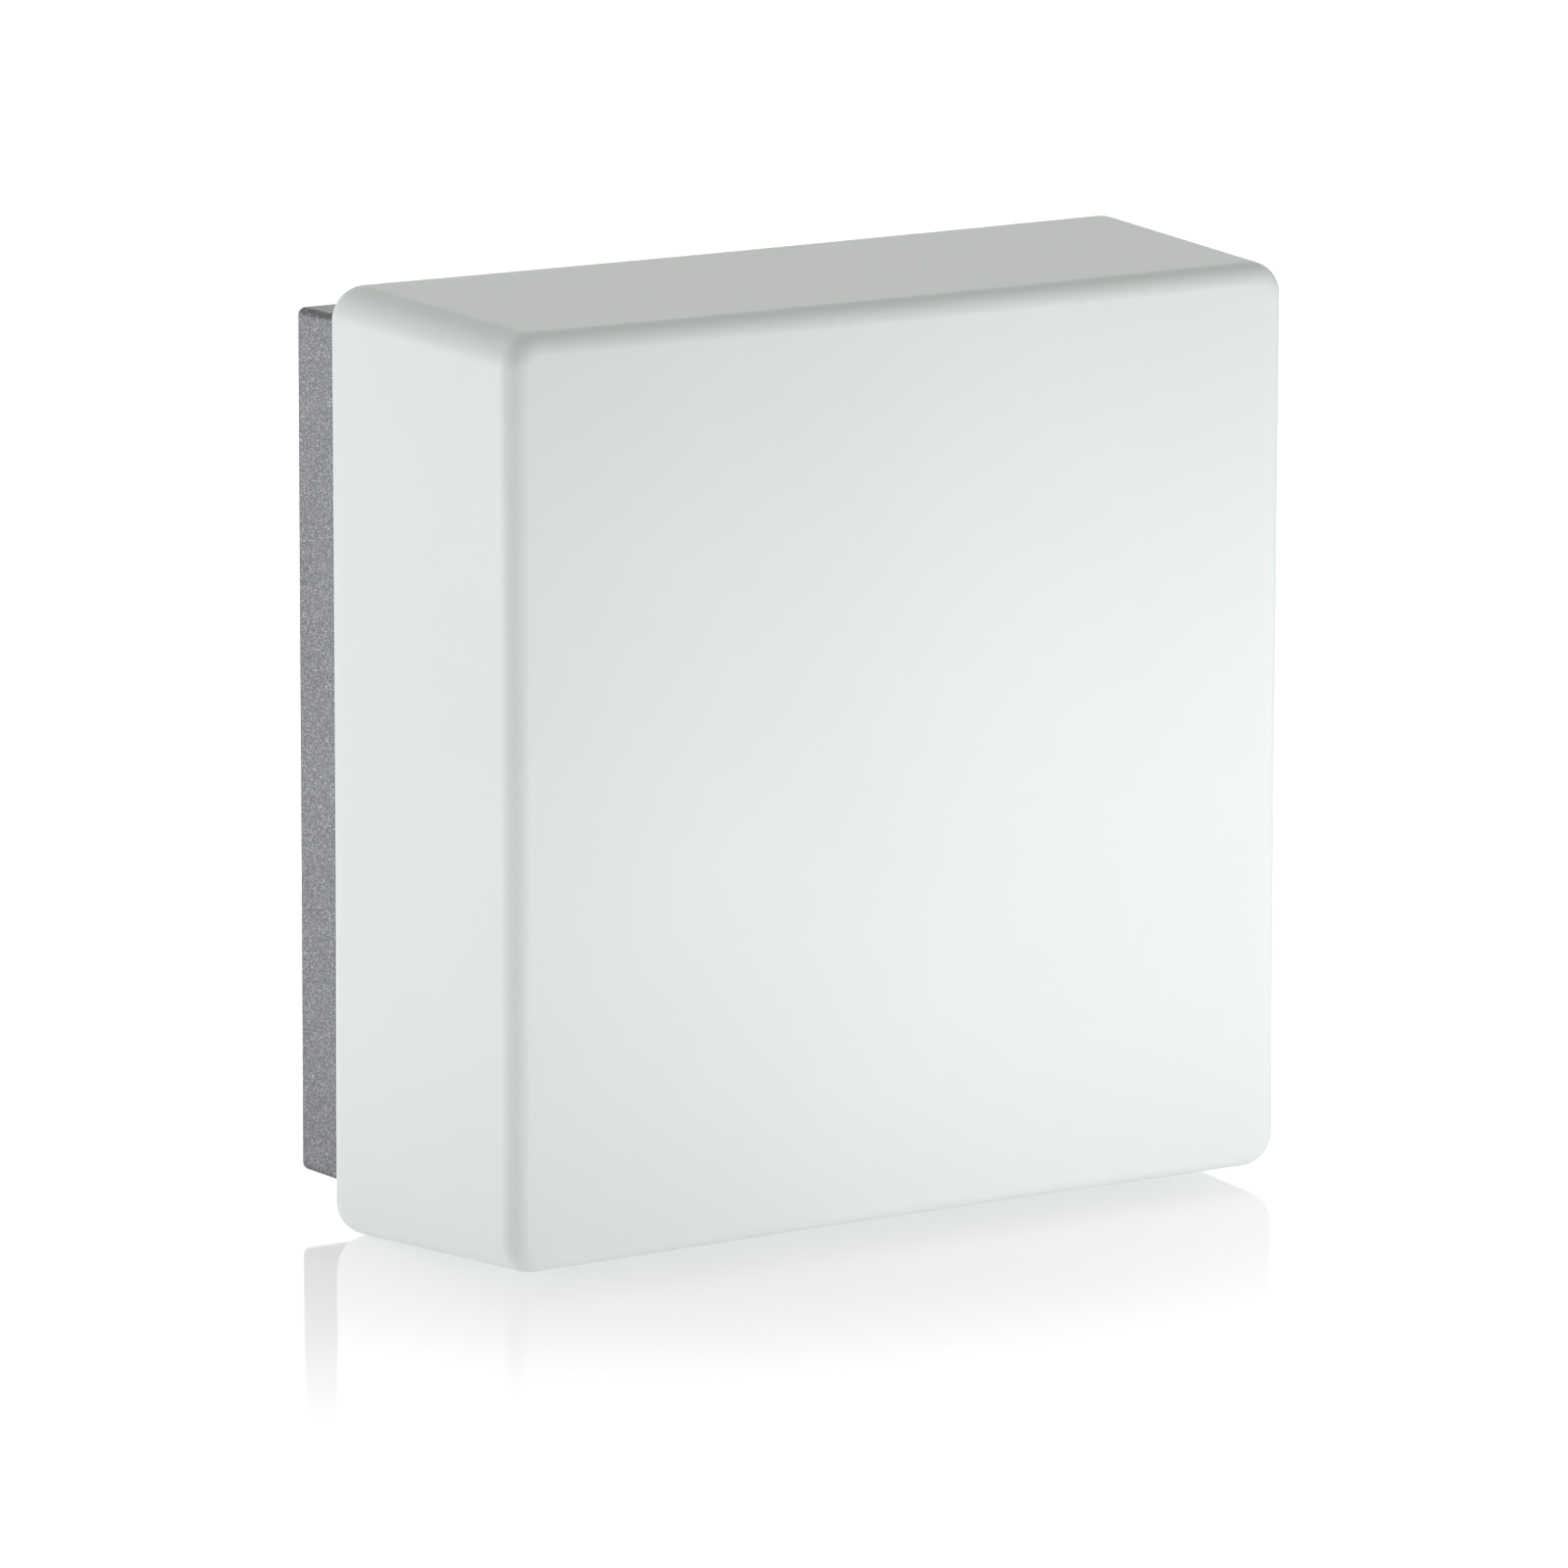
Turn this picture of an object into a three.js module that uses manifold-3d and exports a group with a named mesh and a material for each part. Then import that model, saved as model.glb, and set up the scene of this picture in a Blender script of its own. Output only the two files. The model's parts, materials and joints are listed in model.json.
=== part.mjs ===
// A square outdoor wall lantern: a satin opal glass box on a powder-coated die-cast base, with two E27
// lamps inside.
//
// Every piece is drawn in the bench frame, in millimetres, with the base lying on its back:
// +X to the right, +Y up the wall and +Z out of the wall. The group is turned at the end, so that in the
// finished part +Z is up, the wall is the plane y = 0 and the glass faces -Y. The origin is the middle of
// the base's back.
import * as THREE from "three";
import { mergeVertices } from "three/addons/utils/BufferGeometryUtils.js";
import Module from "manifold-3d";

// ---------------------------------------------------------------- sizes
const GAP = 0.3; // left between any two pieces that touch
const SEAT_CLEARANCE = 0.2; // between the rubber in the base's back and the wall
const TURN = 2 * Math.PI;

// glass shade
const GLASS_SIZE = 300; // width and height at its widest, near the back
const GLASS_DEPTH = 102; // from the rear shoulder to the front face
const GLASS_WALL = 3.5;
const GLASS_DRAFT = 4; // how much narrower each side is at the front
const GLASS_CORNER = 11; // corner radius seen from the front
const FRONT_EDGE = 7; // edge radius round the front face
const REAR_EDGE = 10; // edge radius round the rear shoulder
const NECK_LENGTH = 18; // square neck that enters the base
const NECK_CORNER = 9;

// base housing
const GLASS_OVERHANG = 12.5; // how far the glass stands out past the base on each side
const BASE_DEPTH = 32.5;
const BASE_WALL = 3;
const BASE_FLOOR = 3;
const BASE_CORNER = 2.5; // corner radius seen from the front
const BASE_BACK_EDGE = 2.2; // edge radius round the back
const CAVITY_CORNER = 1.5;
const RIM_WIDTH = 7; // front rim that carries the gasket
const RIM_THICKNESS = 3;
const NECK_PLAY = 3.5; // between the rim's inner edge and the neck
const DRAIN_RADIUS = 2;
const DRAIN_LEVEL = 7; // drain hole's distance from the wall

// seals
const RIM_GASKET_THICKNESS = 1.2;
const RIM_GASKET_WIDTH = 4.6;
const RIM_GASKET_INSET = 1.2;
const WALL_SEAL_INSET = 6; // from the base's edge to the seal's groove
const WALL_SEAL_WIDTH = 4.4;
const WALL_SEAL_THICKNESS = 1.2;
const WALL_SEAL_CORNER = 3.5;

// wall fixings and cable entry
const FIXING_INSET = 30; // from the tray's edge to the fixing holes
const FIXING_SEAT_WIDTH = 4.3; // round the bush
const FIXING_SEAT_HEIGHT = 4; // above the floor
const BUSH_RADIUS = 5.7;
const BUSH_BORE = 2.7;
const BUSH_FLANGE_WIDTH = 2.3;
const BUSH_FLANGE = 2;
const ACCESS_PLAY = 1.5; // round the bush's flange, in the tray's hole for the screwdriver
const ENTRY_HEIGHT = 45; // cable entry, above the middle
const ENTRY_RADIUS = 10.7;
const ENTRY_PAD_WIDTH = 3.5; // round the grommet's flange
const ENTRY_PAD_HEIGHT = 2;
const GROMMET_FLANGE_WIDTH = 2.8;
const GROMMET_FLANGE = 1.6;
const GROMMET_NOSE = 9;
const GROMMET_SKIN = 1.4;
const GROMMET_TIP = 2; // radius of the nose's flat end

// gear tray, which is also the reflector
const TRAY_SETBACK = 4.5; // its front face, behind the base's front
const SHEET = 1.5;
const TRAY_GAP = 3.5; // between the tray and the inside of the neck
const TRAY_CORNER = 6;
const TRAY_FLANGE = 8;
const BOSS_INSET = 16;
const BOSS_WALL = 2.3; // round the tray screw's hole
const TRAY_SCREW = { shank: 1.9, head: 3.8, headHeight: 2.4, length: 12 };
const CABLE_HOLE_RADIUS = 8;
const TRAY_BUSH_LIP = 2; // each way from the hole's edge
const TRAY_BUSH_THICKNESS = 1.2;

// retaining screws
const SCREW_SPREAD = 75; // each side of the middle
const SCREW_SETBACK = 10; // behind the base's front
const SCREW_SHANK = 2.4;
const SCREW_BOSS = 12;
const KNOB_RADIUS = 5.6;
const KNOB_HEIGHT = 5;
const KNOB_STANDOFF = 1.5; // under the knob when the screw is tight
const KNOB_SOCKET = { radius: 2.2, depth: 3 };
const TIP_WALL = 0.4; // steel round the tip's bore
const TIP_BORE_DEPTH = 3;
const TIP_REACH = 0.5; // how far the tip's bore mouth stands behind the rim's inner edge
const KNURL_RADIUS = 0.45;
const KNURLS = 14;

// lamps and lampholders
const LAMP_PITCH = 110; // between the two lamp axes
const LAMP_STANDOFF = 50; // lamp axes, in front of the tray
const LAMP_RADIUS = 30;
const LAMP_LENGTH = 108;
const CAP_RADIUS = 13.2;
const CAP_LENGTH = 26;
const THREAD_PITCH = 3.6;
const THREAD_DEPTH = 1;
const CAP_WALL = 0.8;
const CAP_LAP = 3; // how far the bulb's neck stands inside the cap
const BULB_WALL = 1;
const HOLDER_WALL = 5.5; // porcelain round the shell
const HOLDER_LENGTH = 46;
const HOLDER_BACK = 16; // length of the holder's wider back part
const HOLDER_WAIST = 1.5; // how much narrower it is between its ends
const HOLDER_COLLAR = 4; // length of the collar at its mouth
const HOLDER_CHAMFER = 1.2;
const CONTACT_ROOM = 7; // behind the lamp, for the centre contact
const SHELL_WALL = 0.5;
const CAP_PLAY = 0.5; // between the cap's thread and the shell
const CENTRE_CONTACT = { strip: 0.6, width: 5, foot: 6, reach: 4, bend: 2 };
const LAMP_CONTACT = { tip: 3, crown: 4.6, margin: 4.8, crownAt: 1.8, rimAt: 4.5 };
const CAP_SHOULDER = 4; // how much narrower the cap's end is than its thread
const CAP_START = 6; // from the lamp's tip to the cap's end
const SHELL_LENGTH = 22;
const SHELL_SETBACK = 2; // behind the holder's mouth
const BRACKET_WIDTH = 36;
const BRACKET_FOOT = 20;
const BRACKET_TOP = 22; // above the lamp axis
const NIPPLE_RADIUS = 5;
const NIPPLE_BORE = 3;
const NUT_FLATS = 14;
const NUT_THICKNESS = 5;
const NIPPLE_REACH = 5; // into the holder
const BRACKET_TO_NECK = 10; // from the bracket's outer face to the inside of the neck

// terminal block
const POLES = 3;
const POLE_PITCH = 12;
const POLE_WIDTH = 10;
const BLOCK_DEPTH = 23;
const BLOCK_BASE = 6;
const BLOCK_HEIGHT = 15;
const BLOCK_STEP = 3; // how far the poles stand out past the rail that joins them
const EAR_LENGTH = 7.5; // for the block's own screws, at each end
const EAR_DEPTH = 11;
const CHANNEL_WIDTH = 6;
const CHANNEL_HEIGHT = 3.2;
const CLAMP_SCREW_RADIUS = 2.1;
const CLAMP_SPREAD = 6;
const CLAMP_SCREW_SUNK = 0.8; // under the block's front
const CLAMP_SLOT_WIDTH = 0.8;
const CLAMP_SLOT_DEPTH = 1;
const SHEET_SCREW = { shank: 1.4, head: 2.8, headHeight: 1.9 };

// leads and earth
const LEAD_RADIUS = 1.1;
const LEAD_SPREAD = 1.5; // two leads side by side in one pole
const PORT_RADIUS = 1.7;
const PORT_SPREAD = 8;
const PORT_DEPTH = 7;
const EARTH_DROP = 46; // earth screw, below the middle
const EARTH_WASHER = 1;
const LUG_SHEET = 0.8;
const LUG = { ring: 3.6, eye: 2.2, neck: 3.2, from: 5.8, to: 12, radius: 1.9, rise: 2.1 };
const WASHER = { inner: 1.9, outer: 4.2 };
const EARTH_SCREW = { shank: 1.4, head: 3.4, headHeight: 2.2, length: 7 };
const FOOT_SCREW_LENGTH = 5;
const EAR_SCREW_LENGTH = 7;

// ---------------------------------------------------------------- places worked out from the sizes
const glassHalf = GLASS_SIZE / 2;
const baseHalf = glassHalf - GLASS_OVERHANG;
const rimInner = baseHalf - RIM_WIDTH;
const neckHalf = rimInner - NECK_PLAY;
const neckInner = neckHalf - GLASS_WALL;
const trayHalf = neckInner - TRAY_GAP;
const shoulderLevel = BASE_DEPTH + GAP + RIM_GASKET_THICKNESS + GAP;
const frontLevel = shoulderLevel + GLASS_DEPTH;
const neckEnd = shoulderLevel - NECK_LENGTH;
const trayLevel = BASE_DEPTH - TRAY_SETBACK;
const trayBack = trayLevel - SHEET;
const trayFront = trayLevel + GAP;
const lampAxisLevel = trayLevel + LAMP_STANDOFF;
const screwLevel = BASE_DEPTH - SCREW_SETBACK;
const fixingX = trayHalf - FIXING_INSET;
const bushFlangeRadius = BUSH_RADIUS + BUSH_FLANGE_WIDTH;
const grommetFlangeRadius = ENTRY_RADIUS + GROMMET_FLANGE_WIDTH;
const entryPadRadius = grommetFlangeRadius + ENTRY_PAD_WIDTH;
const trayScrewHole = TRAY_SCREW.shank + GAP;
const tipRadius = SCREW_SHANK - TIP_WALL - GAP;
const shankEnd = rimInner + TIP_REACH;
const bossAt = trayHalf - BOSS_INSET;
const bracketOuter = neckInner - BRACKET_TO_NECK;
const bracketInner = bracketOuter - SHEET;
const holderBack = bracketInner - GAP; // distances from the middle, towards the holder's own side
const holderMouth = holderBack - HOLDER_LENGTH;
const lampStart = holderMouth + CAP_LENGTH;
const shellInner = CAP_RADIUS + CAP_PLAY;
const holderBore = shellInner + SHELL_WALL + GAP;
const holderRadius = holderBore + HOLDER_WALL;
const boreBottom = lampStart + CONTACT_ROOM;
const portAt = holderBack - HOLDER_BACK / 2;
const footScrewX = bracketInner - (BRACKET_FOOT * 2) / 3;
const blockHalf = (POLE_PITCH * POLES + 1) / 2;
const earScrewX = blockHalf + EAR_LENGTH / 2;
const blockEdge = -BLOCK_DEPTH / 2; // the side that the lamps' leads leave by
const channelLevel = trayFront + BLOCK_BASE;
const lugLevel = trayFront + EARTH_WASHER + GAP;
const sheetScrewHole = SHEET_SCREW.shank + GAP;

// ---------------------------------------------------------------- materials
const paint = (color, roughness, metalness) =>
  new THREE.MeshStandardMaterial({ color, roughness, metalness });
const opalGlass = paint(0xe6eaea, 0.35, 0);
const silverCoat = paint(0x85888c, 0.55, 0.6);
const whitePaint = paint(0xf1f1ee, 0.5, 0);
const steel = paint(0xb4b6b8, 0.35, 1);
const brass = paint(0xc8a25a, 0.35, 1);
const porcelain = paint(0xf2efe8, 0.2, 0);
const silicone = paint(0xd9dbd8, 0.6, 0);
const blackRubber = paint(0x1c1c1d, 0.8, 0);
const nylon = paint(0xe9e6dc, 0.5, 0);
const blackGlass = paint(0x18181c, 0.15, 0);
const brownLead = paint(0x6a3d22, 0.5, 0);
const blueLead = paint(0x2c5fa8, 0.5, 0);
const earthLeadGreen = paint(0x6f9a2c, 0.5, 0);

// ---------------------------------------------------------------- solids
const wasm = await Module();
wasm.setup();

function toSolid(geometry) {
  const bare = geometry.clone();
  bare.deleteAttribute("normal");
  bare.deleteAttribute("uv");
  const merged = mergeVertices(bare, 1e-4);
  return new wasm.Manifold(
    new wasm.Mesh({
      numProp: 3,
      vertProperties: new Float32Array(merged.attributes.position.array),
      triVerts: new Uint32Array(merged.index.array),
    }),
  );
}

function toGeometry(solid) {
  const mesh = solid.getMesh();
  const geometry = new THREE.BufferGeometry();
  geometry.setAttribute("position", new THREE.BufferAttribute(mesh.vertProperties, 3));
  geometry.setIndex(new THREE.BufferAttribute(mesh.triVerts, 1));
  geometry.computeVertexNormals();
  return geometry;
}

// The first geometry with the others joined to it, then those of `cuts` taken away.
function carve(first, joins, cuts) {
  let solid = toSolid(first);
  for (const piece of joins) solid = solid.add(toSolid(piece));
  for (const piece of cuts) solid = solid.subtract(toSolid(piece));
  return toGeometry(solid);
}

// ---------------------------------------------------------------- shapes
// One ring of a square with round corners, as points at one level.
function squareRing(half, corner, level, steps) {
  const ring = [];
  for (let quarter = 0; quarter < 4; quarter++) {
    const turn = (quarter * TURN) / 4;
    const sx = quarter === 0 || quarter === 3 ? 1 : -1;
    const sy = quarter < 2 ? 1 : -1;
    for (let i = 0; i <= steps; i++) {
      const angle = turn + ((i / steps) * TURN) / 4;
      ring.push([
        sx * (half - corner) + corner * Math.cos(angle),
        sy * (half - corner) + corner * Math.sin(angle),
        level,
      ]);
    }
  }
  return ring;
}

// A closed solid through a list of square rings, each { level, half, corner }, with flat ends.
function squareLoft(sections, steps = 5) {
  const count = 4 * (steps + 1);
  const points = [];
  const faces = [];
  for (const { level, half, corner } of sections) points.push(...squareRing(half, corner, level, steps));
  for (let s = 0; s + 1 < sections.length; s++) {
    for (let i = 0; i < count; i++) {
      const a = s * count + i;
      const b = s * count + ((i + 1) % count);
      faces.push(a, b, b + count, a, b + count, a + count);
    }
  }
  const last = (sections.length - 1) * count;
  for (let i = 1; i + 1 < count; i++) {
    faces.push(0, i + 1, i);
    faces.push(last, last + i, last + i + 1);
  }
  const geometry = new THREE.BufferGeometry();
  geometry.setAttribute("position", new THREE.Float32BufferAttribute(points.flat(), 3));
  geometry.setIndex(faces);
  return geometry;
}

const squareBlock = (half, corner, from, to, steps = 5) =>
  squareLoft(
    [
      { level: from, half, corner },
      { level: to, half, corner },
    ],
    steps,
  );

// A plain block from one corner to the other.
function block(x0, y0, z0, x1, y1, z1) {
  return new THREE.BoxGeometry(x1 - x0, y1 - y0, z1 - z0).translate(
    (x0 + x1) / 2,
    (y0 + y1) / 2,
    (z0 + z1) / 2,
  );
}

// A solid of revolution about Z. The profile is [radius, level] pairs.
function turned(profile, segments = 24) {
  const points = profile.map(([radius, level]) => new THREE.Vector2(radius, level));
  return new THREE.LatheGeometry(points, segments).rotateX(TURN / 4);
}

const rod = (radius, from, to, segments = 24) =>
  turned(
    [
      [0, from],
      [radius, from],
      [radius, to],
      [0, to],
    ],
    segments,
  );

const tube = (inner, outer, from, to, segments = 24) =>
  turned(
    [
      [inner, from],
      [outer, from],
      [outer, to],
      [inner, to],
      [inner, from],
    ],
    segments,
  );

// ---------------------------------------------------------------- the part and its pieces
const lantern = new THREE.Group();

function addPiece(name, geometry, material) {
  const mesh = new THREE.Mesh(geometry, material);
  mesh.name = name;
  lantern.add(mesh);
  return mesh;
}

// The glass box's profile from the neck's end to the front, set in from the outer face by `inset`.
function glassSections(inset, arcSteps) {
  const half = glassHalf - inset;
  const front = frontLevel - inset;
  const shoulder = shoulderLevel + inset;
  const rear = REAR_EDGE - inset;
  const edge = FRONT_EDGE - inset;
  const corner = GLASS_CORNER - inset;
  const neckCorner = NECK_CORNER - inset;
  const sections = [
    { level: neckEnd, half: neckHalf - inset, corner: neckCorner },
    { level: shoulder, half: neckHalf - inset, corner: neckCorner },
  ];
  for (let i = 0; i <= arcSteps; i++) {
    const angle = ((i / arcSteps) * TURN) / 4;
    const drawIn = rear * (1 - Math.sin(angle));
    sections.push({
      level: shoulder + rear * (1 - Math.cos(angle)),
      half: half - drawIn,
      corner: Math.max(corner - drawIn, 0.5),
    });
  }
  for (let i = 0; i <= arcSteps; i++) {
    const angle = ((i / arcSteps) * TURN) / 4;
    const drawIn = edge * (1 - Math.cos(angle));
    sections.push({
      level: front - edge * (1 - Math.sin(angle)),
      half: half - GLASS_DRAFT - drawIn,
      corner: corner - drawIn,
    });
  }
  return sections;
}

function glassShade() {
  const inner = glassSections(GLASS_WALL, 3);
  inner[0].level -= 1; // runs out through the neck's open end
  return carve(squareLoft(glassSections(0, 5)), [], [squareLoft(inner)]);
}

// The base's outside with its cavity and the square mouth in its front, before bosses and holes.
function baseShell() {
  const back = [];
  const arcSteps = 3;
  for (let i = 0; i <= arcSteps; i++) {
    const angle = ((i / arcSteps) * TURN) / 4;
    const drawIn = BASE_BACK_EDGE * (1 - Math.sin(angle));
    back.push({
      level: BASE_BACK_EDGE * (1 - Math.cos(angle)),
      half: baseHalf - drawIn,
      corner: BASE_CORNER - drawIn,
    });
  }
  const rimBack = BASE_DEPTH - RIM_THICKNESS;
  const outside = squareLoft([...back, { level: BASE_DEPTH, half: baseHalf, corner: BASE_CORNER }], 4);
  const cavity = squareBlock(baseHalf - BASE_WALL, CAVITY_CORNER, BASE_FLOOR, rimBack, 4);
  const mouth = squareBlock(rimInner, NECK_CORNER, rimBack - 1, BASE_DEPTH + 1, 4);
  return toGeometry(toSolid(outside).subtract(toSolid(cavity)).subtract(toSolid(mouth)));
}

// The groove in the base's back that the wall seal lies in.
function sealGroove() {
  const outer = baseHalf - WALL_SEAL_INSET + GAP;
  const inner = baseHalf - WALL_SEAL_INSET - WALL_SEAL_WIDTH - GAP;
  const depth = WALL_SEAL_THICKNESS + GAP;
  return squareRingPiece(outer, outer - inner, WALL_SEAL_CORNER + GAP, WALL_SEAL_CORNER / 2, -1, depth);
}

// The lug behind the rim that a retaining screw is threaded through.
function screwLug(x, up) {
  const near = up * rimInner;
  const far = up * (baseHalf - BASE_WALL / 2);
  const low = Math.min(near, far);
  const high = Math.max(near, far);
  const half = SCREW_BOSS / 2;
  return block(x - half, low, screwLevel - half, x + half, high, BASE_DEPTH - RIM_THICKNESS / 2);
}

function baseHousing() {
  const entryPad = rod(entryPadRadius, 1, BASE_FLOOR + ENTRY_PAD_HEIGHT, 32);
  const entryHole = rod(ENTRY_RADIUS + GAP, -1, BASE_DEPTH, 32);
  const flangeRecess = rod(grommetFlangeRadius + GAP, -1, GROMMET_FLANGE + GAP, 32);
  const drain = rod(DRAIN_RADIUS, -BASE_WALL * 2, BASE_WALL * 2, 16).rotateX(TURN / 4);
  const joins = [entryPad.translate(0, ENTRY_HEIGHT, 0)];
  const cuts = [
    entryHole.translate(0, ENTRY_HEIGHT, 0),
    flangeRecess.translate(0, ENTRY_HEIGHT, 0),
    drain.translate(0, -baseHalf, DRAIN_LEVEL),
    sealGroove(),
  ];
  for (const side of [-1, 1]) {
    const seat = rod(BUSH_RADIUS + FIXING_SEAT_WIDTH, 1, BASE_FLOOR + FIXING_SEAT_HEIGHT, 24);
    joins.push(seat.translate(side * fixingX, 0, 0));
    cuts.push(rod(BUSH_RADIUS + GAP, -1, BASE_DEPTH, 24).translate(side * fixingX, 0, 0));
    for (const up of [-1, 1]) {
      const boss = rod(trayScrewHole + BOSS_WALL, 1, trayBack - GAP, 16);
      const bossHole = rod(trayScrewHole, trayLevel - TRAY_SCREW.length - 1, BASE_DEPTH, 16);
      const screwHole = rod(SCREW_SHANK + GAP, -RIM_WIDTH * 2, RIM_WIDTH * 2, 16).rotateX(TURN / 4);
      joins.push(boss.translate(side * bossAt, up * bossAt, 0));
      cuts.push(bossHole.translate(side * bossAt, up * bossAt, 0));
      joins.push(screwLug(side * SCREW_SPREAD, up));
      cuts.push(screwHole.translate(side * SCREW_SPREAD, up * baseHalf, screwLevel));
    }
  }
  return carve(baseShell(), joins, cuts);
}

function squareRingPiece(outer, width, outerCorner, innerCorner, from, to) {
  return carve(
    squareBlock(outer, outerCorner, from, to, 4),
    [],
    [squareBlock(outer - width, innerCorner, from - 1, to + 1, 4)],
  );
}

// Rubber grommet with a closed stepped nose that is cut open for the mains cable.
function cableGrommet() {
  const padTop = BASE_FLOOR + ENTRY_PAD_HEIGHT + GAP;
  const flangeTop = padTop + GROMMET_FLANGE;
  const noseTop = flangeTop + GROMMET_NOSE;
  const throat = ENTRY_RADIUS - 2 * GROMMET_SKIN;
  return turned(
    [
      [0, noseTop - GROMMET_SKIN],
      [GROMMET_TIP, noseTop - GROMMET_SKIN],
      [throat, flangeTop],
      [throat, SEAT_CLEARANCE],
      [grommetFlangeRadius, SEAT_CLEARANCE],
      [grommetFlangeRadius, GROMMET_FLANGE],
      [ENTRY_RADIUS, GROMMET_FLANGE],
      [ENTRY_RADIUS, padTop],
      [grommetFlangeRadius, padTop],
      [grommetFlangeRadius, flangeTop],
      [ENTRY_RADIUS - GROMMET_SKIN, flangeTop],
      [GROMMET_TIP + GROMMET_SKIN, noseTop],
      [0, noseTop],
    ],
    28,
  ).translate(0, ENTRY_HEIGHT, 0);
}

function fixingBush(side) {
  const seatTop = BASE_FLOOR + FIXING_SEAT_HEIGHT + GAP;
  return turned(
    [
      [BUSH_BORE, SEAT_CLEARANCE],
      [BUSH_RADIUS, SEAT_CLEARANCE],
      [BUSH_RADIUS, seatTop],
      [bushFlangeRadius, seatTop],
      [bushFlangeRadius, seatTop + BUSH_FLANGE],
      [BUSH_BORE, seatTop + BUSH_FLANGE],
      [BUSH_BORE, SEAT_CLEARANCE],
    ],
    24,
  ).translate(side * fixingX, 0, 0);
}

function gearTray() {
  const plate = squareBlock(trayHalf, TRAY_CORNER, trayBack - TRAY_FLANGE, trayLevel, 4);
  const under = squareBlock(
    trayHalf - SHEET,
    TRAY_CORNER - SHEET,
    trayBack - TRAY_FLANGE - 1,
    trayBack,
    4,
  );
  const cuts = [
    under,
    rod(CABLE_HOLE_RADIUS + GAP, 0, BASE_DEPTH, 28).translate(0, ENTRY_HEIGHT, 0),
    rod(sheetScrewHole, 0, BASE_DEPTH, 12).translate(0, -EARTH_DROP, 0),
  ];
  for (const side of [-1, 1]) {
    const access = rod(bushFlangeRadius + ACCESS_PLAY, 0, BASE_DEPTH, 24);
    cuts.push(access.translate(side * fixingX, 0, 0));
    cuts.push(rod(sheetScrewHole, 0, BASE_DEPTH, 12).translate(side * earScrewX, 0, 0));
    for (const up of [-1, 1]) {
      cuts.push(rod(trayScrewHole, 0, BASE_DEPTH, 16).translate(side * bossAt, up * bossAt, 0));
      const footScrewY = (up * LAMP_PITCH) / 2 + (side * BRACKET_WIDTH) / 4;
      cuts.push(rod(sheetScrewHole, 0, BASE_DEPTH, 12).translate(-up * footScrewX, footScrewY, 0));
    }
  }
  return carve(plate, [], cuts);
}

// Pan-head screw with a cross recess, pointing at the wall, its head resting at `level`.
function panScrew({ shank, head, headHeight, length }, x, y, level) {
  const body = turned(
    [
      [0, level + GAP - length],
      [shank, level + GAP - length],
      [shank, level + GAP],
      [head, level + GAP],
      [head, level + GAP + headHeight * 0.45],
      [head * 0.72, level + GAP + headHeight * 0.87],
      [head * 0.35, level + GAP + headHeight],
      [0, level + GAP + headHeight],
    ],
    16,
  );
  const top = level + GAP + headHeight;
  const reach = head * 0.55;
  const half = head * 0.13;
  const slots = [
    block(-reach, -half, top - headHeight * 0.55, reach, half, top + 1),
    block(-half, -reach, top - headHeight * 0.55, half, reach, top + 1),
  ];
  return carve(body, [], slots).translate(x, y, 0);
}

// Rubber edge bush in the tray's cable hole.
function trayBush() {
  const inner = CABLE_HOLE_RADIUS - TRAY_BUSH_LIP;
  const outer = CABLE_HOLE_RADIUS + TRAY_BUSH_LIP;
  const under = trayBack - GAP;
  return turned(
    [
      [inner, under - TRAY_BUSH_THICKNESS],
      [outer, under - TRAY_BUSH_THICKNESS],
      [outer, under],
      [CABLE_HOLE_RADIUS, under],
      [CABLE_HOLE_RADIUS, trayFront],
      [outer, trayFront],
      [outer, trayFront + TRAY_BUSH_THICKNESS],
      [inner, trayFront + TRAY_BUSH_THICKNESS],
      [inner, under - TRAY_BUSH_THICKNESS],
    ],
    28,
  ).translate(0, ENTRY_HEIGHT, 0);
}

// A retaining screw is drawn upright along Z, then laid over along Y so that it points at the neck.
function retainingScrew(x, up) {
  const tip = neckHalf + GAP;
  const knobUnder = baseHalf + KNOB_STANDOFF;
  const knobTop = knobUnder + KNOB_HEIGHT;
  const knob = rod(KNOB_RADIUS, knobUnder, knobTop, KNURLS);
  const cuts = [
    rod(tipRadius + GAP, tip, shankEnd + TIP_BORE_DEPTH, 12),
    rod(KNOB_SOCKET.radius, knobTop - KNOB_SOCKET.depth, knobTop + 1, 6),
  ];
  for (let i = 0; i < KNURLS; i++) {
    const angle = (i * TURN) / KNURLS;
    cuts.push(
      rod(KNURL_RADIUS, knobUnder - 1, knobTop + 1, 6).translate(
        KNOB_RADIUS * Math.cos(angle),
        KNOB_RADIUS * Math.sin(angle),
        0,
      ),
    );
  }
  const upright = carve(knob, [rod(SCREW_SHANK, shankEnd, knobUnder + 1, 16)], cuts);
  return layOver(upright, x, up);
}

function screwTip(x, up) {
  const start = neckHalf + GAP;
  const end = shankEnd + TIP_BORE_DEPTH - GAP;
  return layOver(rod(tipRadius, start, end, 12), x, up);
}

// Turns a piece drawn along +Z so that it lies along +Y, or along -Y where up is -1.
function layOver(geometry, x, up) {
  return geometry.rotateX((-up * TURN) / 4).translate(x, 0, screwLevel);
}

// Turns a piece drawn along +Z from the middle of the lantern so that it points at the holder's own side:
// the upper lamp's holder is on the left, and the lower one's on the right.
function onLampAxis(geometry, up) {
  return geometry.rotateY((-up * TURN) / 4).translate(0, (up * LAMP_PITCH) / 2, lampAxisLevel);
}

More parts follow.
